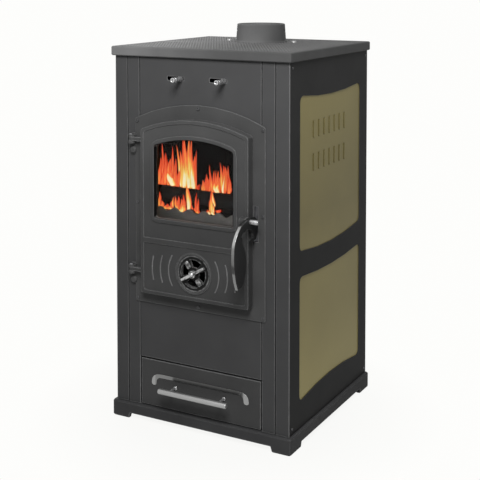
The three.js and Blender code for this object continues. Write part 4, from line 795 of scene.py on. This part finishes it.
stud_tree, add, given = node_group("GeometryNodeTree", "studs on a plate", [
    SHAPE, ("Pitch", FLOAT, 0.009), ("Row pitch", FLOAT, 0.0078), ("Columns", WHOLE, 40),
    ("Rows", WHOLE, 40), ("Middle", VECTOR), ("Radius", FLOAT, 0.0026), ("Rise", FLOAT, 0.0012),
    ("Collar", VECTOR), ("Clearance", FLOAT, 0.085), ("Finish", MATERIAL)], [SHAPE])
columns, rows, pitch, row_pitch = (given[n] for n in ("Columns", "Rows", "Pitch", "Row pitch"))
grid = add("GeometryNodeMeshGrid", {
    "Size X": maths(add, "MULTIPLY", maths(add, "SUBTRACT", columns, 1), pitch),
    "Size Y": maths(add, "MULTIPLY", maths(add, "SUBTRACT", rows, 1), row_pitch),
    "Vertices X": columns, "Vertices Y": rows})
spot = add("GeometryNodeInputPosition").outputs[0]
row = maths(add, "ROUND", maths(add, "DIVIDE", xyz(add, spot)["Y"], row_pitch))
odd = maths(add, "FLOORED_MODULO", row, 2)
stagger = add("ShaderNodeCombineXYZ", {
    "X": maths(add, "MULTIPLY", odd, maths(add, "MULTIPLY", pitch, 0.5))}).outputs[0]
shift = add("ShaderNodeVectorMath", {0: stagger, 1: given["Middle"]}, operation="ADD")
moved = add("GeometryNodeSetPosition", {"Geometry": grid.outputs["Mesh"],
                                        "Offset": shift.outputs[0]})
from_collar = add("ShaderNodeVectorMath", {0: spot, 1: given["Collar"]}, operation="DISTANCE")
under = add("FunctionNodeCompare", {0: from_collar.outputs["Value"], 1: given["Clearance"]},
            operation="LESS_THAN")
cleared = add("GeometryNodeDeleteGeometry", {"Geometry": moved.outputs["Geometry"],
                                             "Selection": under.outputs[0]}, domain="POINT")
stud = add("GeometryNodeMeshCone", {
    "Vertices": STUD_SIDES, "Radius Bottom": given["Radius"], "Depth": given["Rise"],
    "Radius Top": maths(add, "MULTIPLY", given["Radius"], 0.5)}, fill_type="NGON")
studded = add("GeometryNodeInstanceOnPoints", {
    "Points": cleared.outputs["Geometry"], "Instance": stud.outputs["Mesh"],
    "Scale": STUD_OVAL})
finish_tree(add, studded.outputs["Instances"], given["Finish"])
print("trees:", screw_tree.name, "and", stud_tree.name)

# %% [markdown]
# ## Studs on the top plate
# The cast plate carries rows of small oval studs, so that a pot doesn't slide. A plain band runs
# round its edge. The studs are cast with the plate, so their feet are sunk into its face. They are
# a little paler than the plate between them, and carry the same painted light, lighter towards the
# left.

# %% Studs
STUD_PITCH, STUD_ROW_PITCH, STUD_BAND = mm(9), mm(7.8), mm(19)
STUD_RADIUS, STUD_RISE, COLLAR_CLEARANCE = mm(2.7), mm(1.3), mm(84)
# painted light and shade: lighter towards the left, as on the plate
stud_iron = grained("stud iron", 0.24, 0.55, grain=650, depth=0.3, specular=0.06, cloud=0.1,
                    painted_light_ramp=("X", -220, 60, 1.3, 0.6))
plate_low, plate_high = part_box("top_plate")
plate_middle, collar_middle = middle_of("top_plate"), middle_of("flue_collar")
stud_columns = int((plate_high.x - plate_low.x - 2 * STUD_BAND) / STUD_PITCH)
stud_rows = int((plate_high.y - plate_low.y - 2 * STUD_BAND) / STUD_ROW_PITCH)
studs = modified(bpy.data.meshes.new("no_points"), "NODES", {
    "Pitch": STUD_PITCH, "Row pitch": STUD_ROW_PITCH, "Columns": stud_columns,
    "Rows": stud_rows, "Middle": (plate_middle.x - STUD_PITCH / 4, plate_middle.y, plate_top),
    "Radius": STUD_RADIUS, "Rise": STUD_RISE, "Clearance": COLLAR_CLEARANCE,
    "Collar": (collar_middle.x, collar_middle.y, plate_top), "Finish": stud_iron},
    node_group=stud_tree)
studs.shade_smooth()
studs.set_sharp_from_angle(angle=math.radians(60))
add_piece("top_plate_studs", studs, "root", "top_iron")
print("studs:", stud_columns * stud_rows, "triangles:", sum(len(p.vertices) - 2
                                                        for p in studs.polygons))

# %% [markdown]
# ## Screws
# Eight screws hold the door frame, four hold each side panel near its corners, and two bright ones
# stand beside the collar. One turned head, domed round a hollow, serves them all in three sizes.

# %% Screws


def screw_head(name, radius, rise):
    """An object with one domed head that faces up, for the tree to copy."""
    profile = ((0, -0.8), (radius, -0.8), (radius, rise * 0.35), (radius * 0.9, rise * 0.7),
               (radius * 0.68, rise * 0.94), (radius * 0.46, rise), (radius * 0.4, rise * 0.9),
               (radius * 0.36, rise * 0.3), (0, rise * 0.25))
    return bpy.data.objects.new(name, turned(name, profile, Vector(), "z"))


def screws(name, places, facing, size, slot_name, replaced=()):
    """Sets a head of a size on each place, in metres, facing one way, as one piece."""
    head = screw_head(name + "_head", *size)
    scene.collection.objects.link(head)
    points = bpy.data.meshes.new(name + "_points")
    points.from_pydata(places, [], [])
    mesh = modified(points, "NODES", {"Head": head, "Facing": facing, "Seed": 3,
                                      "Finish": finishes[slot_name]}, node_group=screw_tree)
    bpy.data.objects.remove(head)
    add_piece(name, mesh, "root", slot_name, replaced=replaced)


QUARTER = math.pi / 2
FRAME_HEAD, SIDE_HEAD, PLATE_HEAD = (5, 2.2), (3.6, 2), (8, 5)  # radius and rise, millimetres
PLATE_HEAD_LIFT = mm(0.3)
SIDE_SCREWS = [(y, z) for y in (-186, 311) for z in (62, 1012)]
frame_screws = [f"frame_screw_{number}" for number in range(1, 9)]
frame_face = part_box("frame_screw_1")[0].y + mm(FRAME_HEAD[1])
screws("frame_screws", [(middle_of(n).x, frame_face, middle_of(n).z) for n in frame_screws],
       (QUARTER, 0, 0), FRAME_HEAD, "frame_screw_steel", frame_screws)
plate_screws = ["top_plate_screw_left", "top_plate_screw_right"]
screws("plate_screws", [(*middle_of(n).xy, plate_top + PLATE_HEAD_LIFT) for n in plate_screws],
       (0, 0, 0), PLATE_HEAD, "plate_screw_steel", plate_screws)
for side, sign in (("left", -1), ("right", 1)):
    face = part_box(f"side_panel_{side}")[0 if sign < 0 else 1].x
    screws(f"side_screws_{side}", [(face, mm(y), mm(z)) for y, z in SIDE_SCREWS],
           (0, sign * QUARTER, 0), SIDE_HEAD, "frame_screw_steel")
print("screws:", len(frame_screws) + len(plate_screws) + 2 * len(SIDE_SCREWS))

# %% [markdown]
# ## Painted shadows beside the joints
# A thin near-black strip stands on the sheet at the right of each joint between the sheets of
# the front: a painted shadow, which gives the dark line beside each light edge. The joints beside
# the drawer stay open, so that it can slide.

# %% Fill the joints
SHADOW_STRIP_WIDTH, SHADOW_STRIP_RISE, SHADOW_STRIP_SUNK = mm(2.6), mm(0.15), mm(0.3)
SHADOW_STRIP_STOP = mm(18)  # below the upper edge of the front
# painted shadow: near-black strips where the shade of each groove falls
groove_shadow_paint = grained("painted groove shadow", 0.01, 0.95, grain=1500, depth=0.9, specular=0.02)


def build_shadow_strips(bm):
    """Thin upright strips over the joints of the front."""
    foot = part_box("front_post_left")[0].z
    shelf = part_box("front_panel_lower")[0].z
    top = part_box("front_panel_upper")[1].z - SHADOW_STRIP_STOP
    for left_of_joint, low in (("front_post_left", foot), ("front_stile_left", shelf),
                               ("front_panel_upper", shelf), ("front_stile_right", foot)):
        size = Vector((SHADOW_STRIP_WIDTH, SHADOW_STRIP_RISE + SHADOW_STRIP_SUNK, top - low))
        made = bmesh.ops.create_cube(bm, size=1)["verts"]
        bmesh.ops.scale(bm, vec=size, verts=made)
        bmesh.ops.translate(bm, verts=made, vec=(
            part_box(left_of_joint)[1].x + size.x / 2,
            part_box("front_post_left")[0].y + size.y / 2 - SHADOW_STRIP_RISE, (top + low) / 2))


shadow_strips = mesh_from("joint_cement", build_shadow_strips, smooth=False)
add_piece("joint_cement", shadow_strips, "root", "gasket_fibre", groove_shadow_paint)
print("joints:", len(shadow_strips.polygons) // 6)

# %% [markdown]
# ## Log guard
# A cast fender keeps the logs off the glass. Its top edge waves up and down, and the sight of it
# through the window sets off the low flames behind it. A cosine gives the wave, the outline is
# filled in one piece, and the edges are rounded as on the other castings. It has a finish of its
# own, paler than the other iron: painted light in place of the light that the glass keeps from it.

# %% Cast the guard
GUARD_WAVE, GUARD_CREST, GUARD_SWING, GUARD_ROUNDING = mm(47), mm(-153), mm(5.5), mm(1)
GUARD_STEPS = 120
guard_low, guard_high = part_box("log_guard")
# painted light: paler than the other iron, for the light that the glass keeps from it
guard_iron_painted_light = grained("guard iron with painted light", (0.16, 0.147, 0.143), 0.8, grain=350, depth=0.6, cloud=0.15,
                     cloud_scale=22, specular=0.1, wear_and_highlight=0.6, wear_and_highlight_grey=0.35)


def build_guard(bm):
    """A plate with a waved top edge."""
    outline = [(guard_low.x, guard_low.z), (guard_high.x, guard_low.z)]
    for i in range(GUARD_STEPS + 1):
        x = guard_high.x + (guard_low.x - guard_high.x) * i / GUARD_STEPS
        turn = 2 * math.pi * (x - GUARD_CREST) / GUARD_WAVE
        outline.append((x, guard_high.z + GUARD_SWING * (math.cos(turn) - 1)))
    face = bm.faces.new([bm.verts.new((x, guard_low.y, z)) for x, z in outline])
    made = bmesh.ops.extrude_face_region(bm, geom=[face])
    bmesh.ops.translate(bm, vec=(0, guard_high.y - guard_low.y, 0),
                        verts=[v for v in made["geom"] if isinstance(v, bmesh.types.BMVert)])
    bmesh.ops.recalc_face_normals(bm, faces=bm.faces)


guard = mesh_from("log_guard_cast", build_guard)
guard.materials.append(guard_iron_painted_light)
add_piece("log_guard_cast", eased(guard, GUARD_ROUNDING), "root", "grate_iron",
          replaced=("log_guard",))
print("guard:", len(guard.vertices), "points")

# %% [markdown]
# ## Cord round the glass
# The pane sits in a bed of black cord, which shows as a dark lining inside the window's opening.
# It follows the opening's outline, an arch on straight sides, just inside the iron. The sill stays
# bare, since ash and fingers keep it rubbed.

# %% Lay the cord
WINDOW_HALF, WINDOW_FOOT, WINDOW_SHOULDER, WINDOW_APEX = 123.5, 588, 788, 810  # millimetres
LINING_FRONT, LINING_WALL, LINING_LAP = -235, 0.8, 0.2


def arched_outline(half, foot, shoulder, apex, steps=40):
    """Points of a straight-sided opening under a shallow arch, in millimetres."""
    rise = apex - shoulder
    radius = (half * half + rise * rise) / (2 * rise)
    spread = math.asin(half / radius)
    angles = [spread - 2 * spread * i / steps for i in range(steps + 1)]
    arch = [(radius * math.sin(a), apex - radius + radius * math.cos(a)) for a in angles]
    return [(half, foot)] + arch + [(-half, foot)]


def build_lining(bm):
    """A thin wall up one side of the opening, over its arch and down, from face to glass."""
    front, back = mm(LINING_FRONT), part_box("glass_gasket")[0].y
    lines = []
    for inset, y in ((-LINING_LAP, front), (LINING_WALL, front), (LINING_WALL, back),
                     (-LINING_LAP, back)):
        outline = arched_outline(WINDOW_HALF - inset, WINDOW_FOOT, WINDOW_SHOULDER - inset,
                                 WINDOW_APEX - inset)
        lines.append([bm.verts.new((mm(x), y, mm(z))) for x, z in outline])
    for one, two in zip(lines, lines[1:] + lines[:1]):
        for i in range(len(one) - 1):
            bm.faces.new((one[i], one[i + 1], two[i + 1], two[i]))
    for end in (0, -1):
        bm.faces.new([line[end] for line in lines])
    bmesh.ops.recalc_face_normals(bm, faces=bm.faces)


black_cord = grained("black cord", 0.008, 0.95, grain=1500, depth=0.9, specular=0.02)
lining = mesh_from("window_cord", build_lining, smooth=False)
add_piece("window_cord", lining, "door", "gasket_fibre", black_cord)
print("cord points:", len(lining.vertices))

# %% [markdown]
# ## Logs
# Five split logs lie across the fire behind the guard, burnt black on the outside. Each is a
# round bar of many rings whose radius wanders like bark, with flat sawn ends. The bark glows
# where the noise is highest.

# %% Charred logs
LOGS = (
    # left end, right end, radius, seed: millimetres in the frame
    ((-169, -114, 635), (162, -106, 629), 22, 3),
    ((-164, -66, 622), (164, -42, 630), 26, 5),
    ((-154, 30, 540), (158, 10, 548), 30, 8),
    ((-160, -22, 554), (141, -80, 542), 28, 11),
    ((-122, -102, 547), (120, -124, 560), 22, 14),
)
LOG_RINGS, LOG_SIDES, LOG_BOW, BARK_SWING = 60, 28, mm(3), 0.09
CHAR_DARK, CHAR_PALE, EMBER = (0.003, 0.0045, 0.005), (0.01, 0.0135, 0.0145), (1, 0.16, 0.02)
CHAR_REACH, EMBER_REACH = (0.35, 0.7), (0.7, 0.76)


def wander(angle, along, seed):
    """A smooth repeatable bumpiness between -1 and 1 for bark."""
    return (math.sin(3 * angle + 5.1 * along + seed) + math.sin(7 * angle - 9 * along + 2 * seed)
            + 0.7 * math.sin(13 * angle + 21 * along + 3 * seed)) / 2.7


def build_log(start, end, radius, seed):
    """Returns a function that adds one log to a bmesh."""
    start, end = mm(*start), mm(*end)
    axis = (end - start).normalized()
    side = axis.cross(Z).normalized()
    up = side.cross(axis)

    def build(bm):
        rings = []
        for ring in range(LOG_RINGS + 1):
            along = ring / LOG_RINGS
            centre = start.lerp(end, along) + up * LOG_BOW * math.sin(4 * along + seed)
            points = []
            for step in range(LOG_SIDES):
                angle = 2 * math.pi * step / LOG_SIDES
                size = mm(radius) * (1 + BARK_SWING * wander(angle, along * 3, seed))
                points.append(bm.verts.new(
                    centre + size * (side * math.cos(angle) + up * math.sin(angle))))
            rings.append(points)
        skin(bm, rings)
        bm.faces.new(rings[0][::-1])
        bm.faces.new(rings[-1])
        bmesh.ops.recalc_face_normals(bm, faces=bm.faces)
    return build


charred, add, place = material_nodes("charred wood")
bark = noise(add, place, 55, 6)
char, glow = mapped(add, bark, *CHAR_REACH, 0, 1), mapped(add, bark, *EMBER_REACH, 0, 1)
principled(add, {
    "Base Color": colour_mix(add, char, CHAR_DARK, CHAR_PALE), "Specular IOR Level": 0.2,
    "Emission Color": colour_mix(add, glow, (0, 0, 0), EMBER), "Emission Strength": 1,
    "Roughness": mapped(add, bark, *NOISE_REACH, 0.8, 0.95), "Normal": bumped(add, bark, 0.8, 2)})

for number, (start, end, radius, seed) in enumerate(LOGS, 1):
    mesh = mesh_from(f"fire_log_{number}", build_log(start, end, radius, seed))
    add_piece(f"fire_log_{number}", mesh, "root", "grate_iron", charred)

# %% [markdown]
# ## Flames
# A flame is a thin bright sheet, so each tongue is a narrow leaf that stands on the logs, bends a
# little and ends in a point. Its points carry a warmth, high in the middle near the wood and low
# at the rim, and the material turns warmth into colour: red, orange, yellow, near white. The
# tongues stand in clusters over the upper log, with thin streams in front of it and small ones
# along the guard. They were measured on one plane and stand on another, so each is slid along the
# camera's view, and neighbours stand a little apart.

# %% Flame material and tongues
FLAME_ROWS, FLAME_COLUMNS = 26, 9
FLAME_WAIST, FLAME_BULGE, FLAME_SWAY, FLAME_WIDTH = 0.3, 0.5, 0.16, 1.25
SHEETS, SHEET_STEP = 5, 0.6
FLAME_GLOW, FLAME_STREAK, STREAK_STRETCH = 1.15, 0.2, (1, 0.3, 0.09)
FLAME_TONES = (
    (0, (0.5, 0.02, 0.006)), (0.22, (0.86, 0.085, 0.03)), (0.48, (0.97, 0.17, 0.05)),
    (0.68, (1, 0.43, 0.08)), (0.85, (1, 0.74, 0.18)), (1, (1, 0.86, 0.52)))

flame, add, place = material_nodes("flame")
warmth = add("ShaderNodeAttribute", attribute_name="warmth").outputs["Fac"]
tall = add("ShaderNodeVectorMath", {0: place, 1: STREAK_STRETCH}, operation="MULTIPLY").outputs[0]
streak = mapped(add, noise(add, tall, 210, 2), *NOISE_REACH, -FLAME_STREAK, FLAME_STREAK)
principled(add, {
    "Emission Color": colour_ramp(add, maths(add, "ADD", warmth, streak), FLAME_TONES),
    "Emission Strength": FLAME_GLOW, "Alpha": mapped(add, warmth, 0, 0.12, 0, 1),
    "Base Color": (0, 0, 0, 1), "Specular IOR Level": 0, "Roughness": 1})


def tongue(foot, tip, width, core):
    """Points and warmths of one flame: a leaf from a foot to a tip, widest at its waist."""
    foot, tip, width = mm(*foot), mm(*tip), mm(width)
    rise, across = tip - foot, X
    bend = across.cross(rise).normalized()
    points, warmths = [], []
    for row in range(FLAME_ROWS + 1):
        along = row / FLAME_ROWS
        if along < FLAME_WAIST:
            half = 0.55 + 0.45 * math.sin(along / FLAME_WAIST * math.pi / 2)
        else:
            half = math.cos((along - FLAME_WAIST) / (1 - FLAME_WAIST) * math.pi / 2) ** 0.85
        half *= width / 2
        sway = across * width * FLAME_SWAY * math.sin(along * 5 + foot.x * 90)
        tall = (0.35 + 0.65 * (1 - along ** 1.5)) * min(1, along / 0.02 + 0.6)
        for column in range(FLAME_COLUMNS + 1):
            reach = 2 * column / FLAME_COLUMNS - 1
            within = 1 - reach * reach
            points.append(foot + rise * along + sway + across * half * reach
                          + bend * half * FLAME_BULGE * within)
            warmths.append(core * within ** 0.6 * tall)
    return points, warmths


def flame_mesh(name, measured, depth, rows):
    """One mesh of tongues from rows of foot x, foot z, tip x, tip z, width and core."""
    points, faces, warmths = [], [], []
    wide = FLAME_COLUMNS + 1
    for number, (x, z, top_x, top_z, width, core) in enumerate(rows):
        y = depth + SHEET_STEP * (number % SHEETS)
        faces += [(i, i + 1, i + wide + 1, i + wide) for row in range(FLAME_ROWS)
                  for i in range(len(points) + row * wide, len(points) + row * wide + wide - 1)]
        more_points, more_warmths = tongue(nearer(x, z, measured, y),
                                           nearer(top_x, top_z, measured, y),
                                           width * FLAME_WIDTH, core)
        points += more_points
        warmths += more_warmths
    mesh = bpy.data.meshes.new(name)
    mesh.from_pydata(points, [], faces)
    layer = mesh.attributes.new("warmth", "FLOAT", "POINT")
    layer.data.foreach_set("value", warmths)
    mesh.materials.append(flame)
    mesh.shade_smooth()
    return mesh


def nearer(x, z, start, stop):
    """Slides a place on the plane y = start along the camera's view onto y = stop."""
    eye_x, eye_y, eye_z = (value / MM for value in CAMERA_PLACE)
    share = (stop - start) / (eye_y - start)
    return x + (eye_x - x) * share, stop, z + (eye_z - z) * share


HIGH_FLAMES = (
    (-189, 657, -193, 673, 7, 0.4), (-182, 657, -177, 705, 14, 0.5),
    (-176, 657, -172, 735, 14, 0.52), (-165, 657, -166, 776, 8, 0.55),
    (-158, 657, -152, 750, 18, 0.5), (-167, 657, -160, 706, 14, 0.45),
    (-148, 657, -146, 692, 13, 0.6), (-136, 656, -140, 734, 19, 0.7),
    (-136, 657, -137, 708, 25, 1.35), (-125, 656, -134, 770, 9, 0.7),
    (-120, 657, -124, 736, 11, 0.6), (-113, 656, -110, 710, 16, 0.5),
    (-103, 656, -119, 775, 8, 1), (-100, 656, -106, 759, 12, 0.8),
    (-95, 655, -96, 793, 15, 0.8), (-89, 655, -91, 795, 13, 0.95), (-74, 655, -76, 796, 14, 1),
    (-68, 655, -70, 793, 11, 0.85), (-82, 655, -79, 772, 12, 1.1), (-91, 655, -92, 740, 20, 1.4),
    (-80, 655, -82, 724, 15, 1.3), (-65, 655, -66, 735, 15, 1.3), (-59, 655, -61, 749, 11, 0.7),
    (-56, 655, -55, 767, 7, 0.48), (-47, 654, -46, 671, 11, 0.2), (-32, 653, -33, 683, 10, 0.6),
    (-26, 653, -23, 690, 10, 0.52), (-18, 653, -20, 701, 9, 0.5), (-13, 653, -10, 687, 13, 0.55),
    (-5, 651, -11, 727, 6, 0.62), (-3, 651, -7, 703, 12, 0.62), (3, 651, 3, 713, 7, 0.6),
    (7, 651, 9, 715, 5, 0.6), (17, 652, 14, 713, 10, 0.55), (21, 652, 19, 696, 9, 0.5),
    (9, 651, 5, 681, 13, 1.1), (16, 652, 14, 677, 12, 1.2), (32, 652, 21, 737, 8, 0.75),
    (34, 652, 32, 730, 13, 0.6), (40, 652, 48, 730, 8, 0.75), (39, 652, 39, 727, 13, 0.6),
    (36, 652, 35, 710, 13, 1.3), (49, 652, 52, 703, 10, 0.52), (51, 652, 51, 684, 11, 0.6),
    (74, 652, 70, 700, 14, 0.5), (86, 652, 90, 724, 16, 0.6), (100, 652, 98, 708, 18, 0.9),
    (116, 652, 120, 742, 14, 0.6), (132, 652, 128, 716, 16, 0.55), (148, 652, 152, 730, 14, 0.5),
)
LOW_FLAMES = (
    (-175, 595, -176, 646, 7, 0.72), (-170, 596, -171, 618, 11, 0.6),
    (-164, 596, -164, 641, 9, 0.64), (-156, 596, -155, 616, 11, 0.5),
    (-174, 593, -176, 606, 14, 1), (-163, 595, -161, 604, 18, 0.9),
    (-146, 593, -139, 603, 20, 0.8), (-135, 593, -135, 609, 13, 0.42),
    (-127, 594, -126, 604, 18, 0.85), (-123, 599, -120, 620, 10, 0.45),
    (-120, 601, -118, 631, 5, 0.7), (-106, 598, -114, 633, 8, 0.55),
    (-101, 595, -102, 635, 10, 0.58), (-102, 593, -105, 614, 13, 0.85),
    (-92, 592, -91, 628, 10, 0.56), (-84, 592, -84, 641, 10, 0.58),
    (-89, 590, -89, 612, 20, 0.92), (-93, 585, -95, 594, 15, 0.5), (-69, 597, -69, 672, 14, 1.25),
    (-69, 597, -68, 672, 10, 1.3), (-57, 601, -57, 613, 6, 0.5), (-44, 599, -43, 651, 6, 0.36),
    (-36, 594, -38, 634, 7, 0.42), (-41, 595, -43, 613, 13, 0.45), (-36, 592, -38, 601, 13, 0.7),
    (4, 598, 7, 663, 7, 0.95), (-1, 601, 5, 649, 5, 0.6), (15, 617, 7, 664, 7, 1),
    (9, 594, 16, 623, 7, 1.05), (0, 600, 0, 632, 6, 0.5), (-3, 592, -3, 603, 9, 1.3),
    (9, 593, 10, 604, 11, 1.3), (22, 600, 39, 607, 7, 0.5), (28, 602, 32, 610, 15, 0.4),
    (-8, 598, -5, 606, 9, 0.3), (92, 592, 90, 626, 12, 0.6), (118, 592, 121, 616, 14, 0.5),
    (146, 592, 143, 630, 12, 0.6),
)
for name, measured, depth, rows in (("flames_high", -125, -150, HIGH_FLAMES),
                                    ("flames_low", -144, -151, LOW_FLAMES)):
    add_piece(name, flame_mesh(name, measured, depth, rows), "root", "grate_iron")
print("tongues:", len(HIGH_FLAMES) + len(LOW_FLAMES))
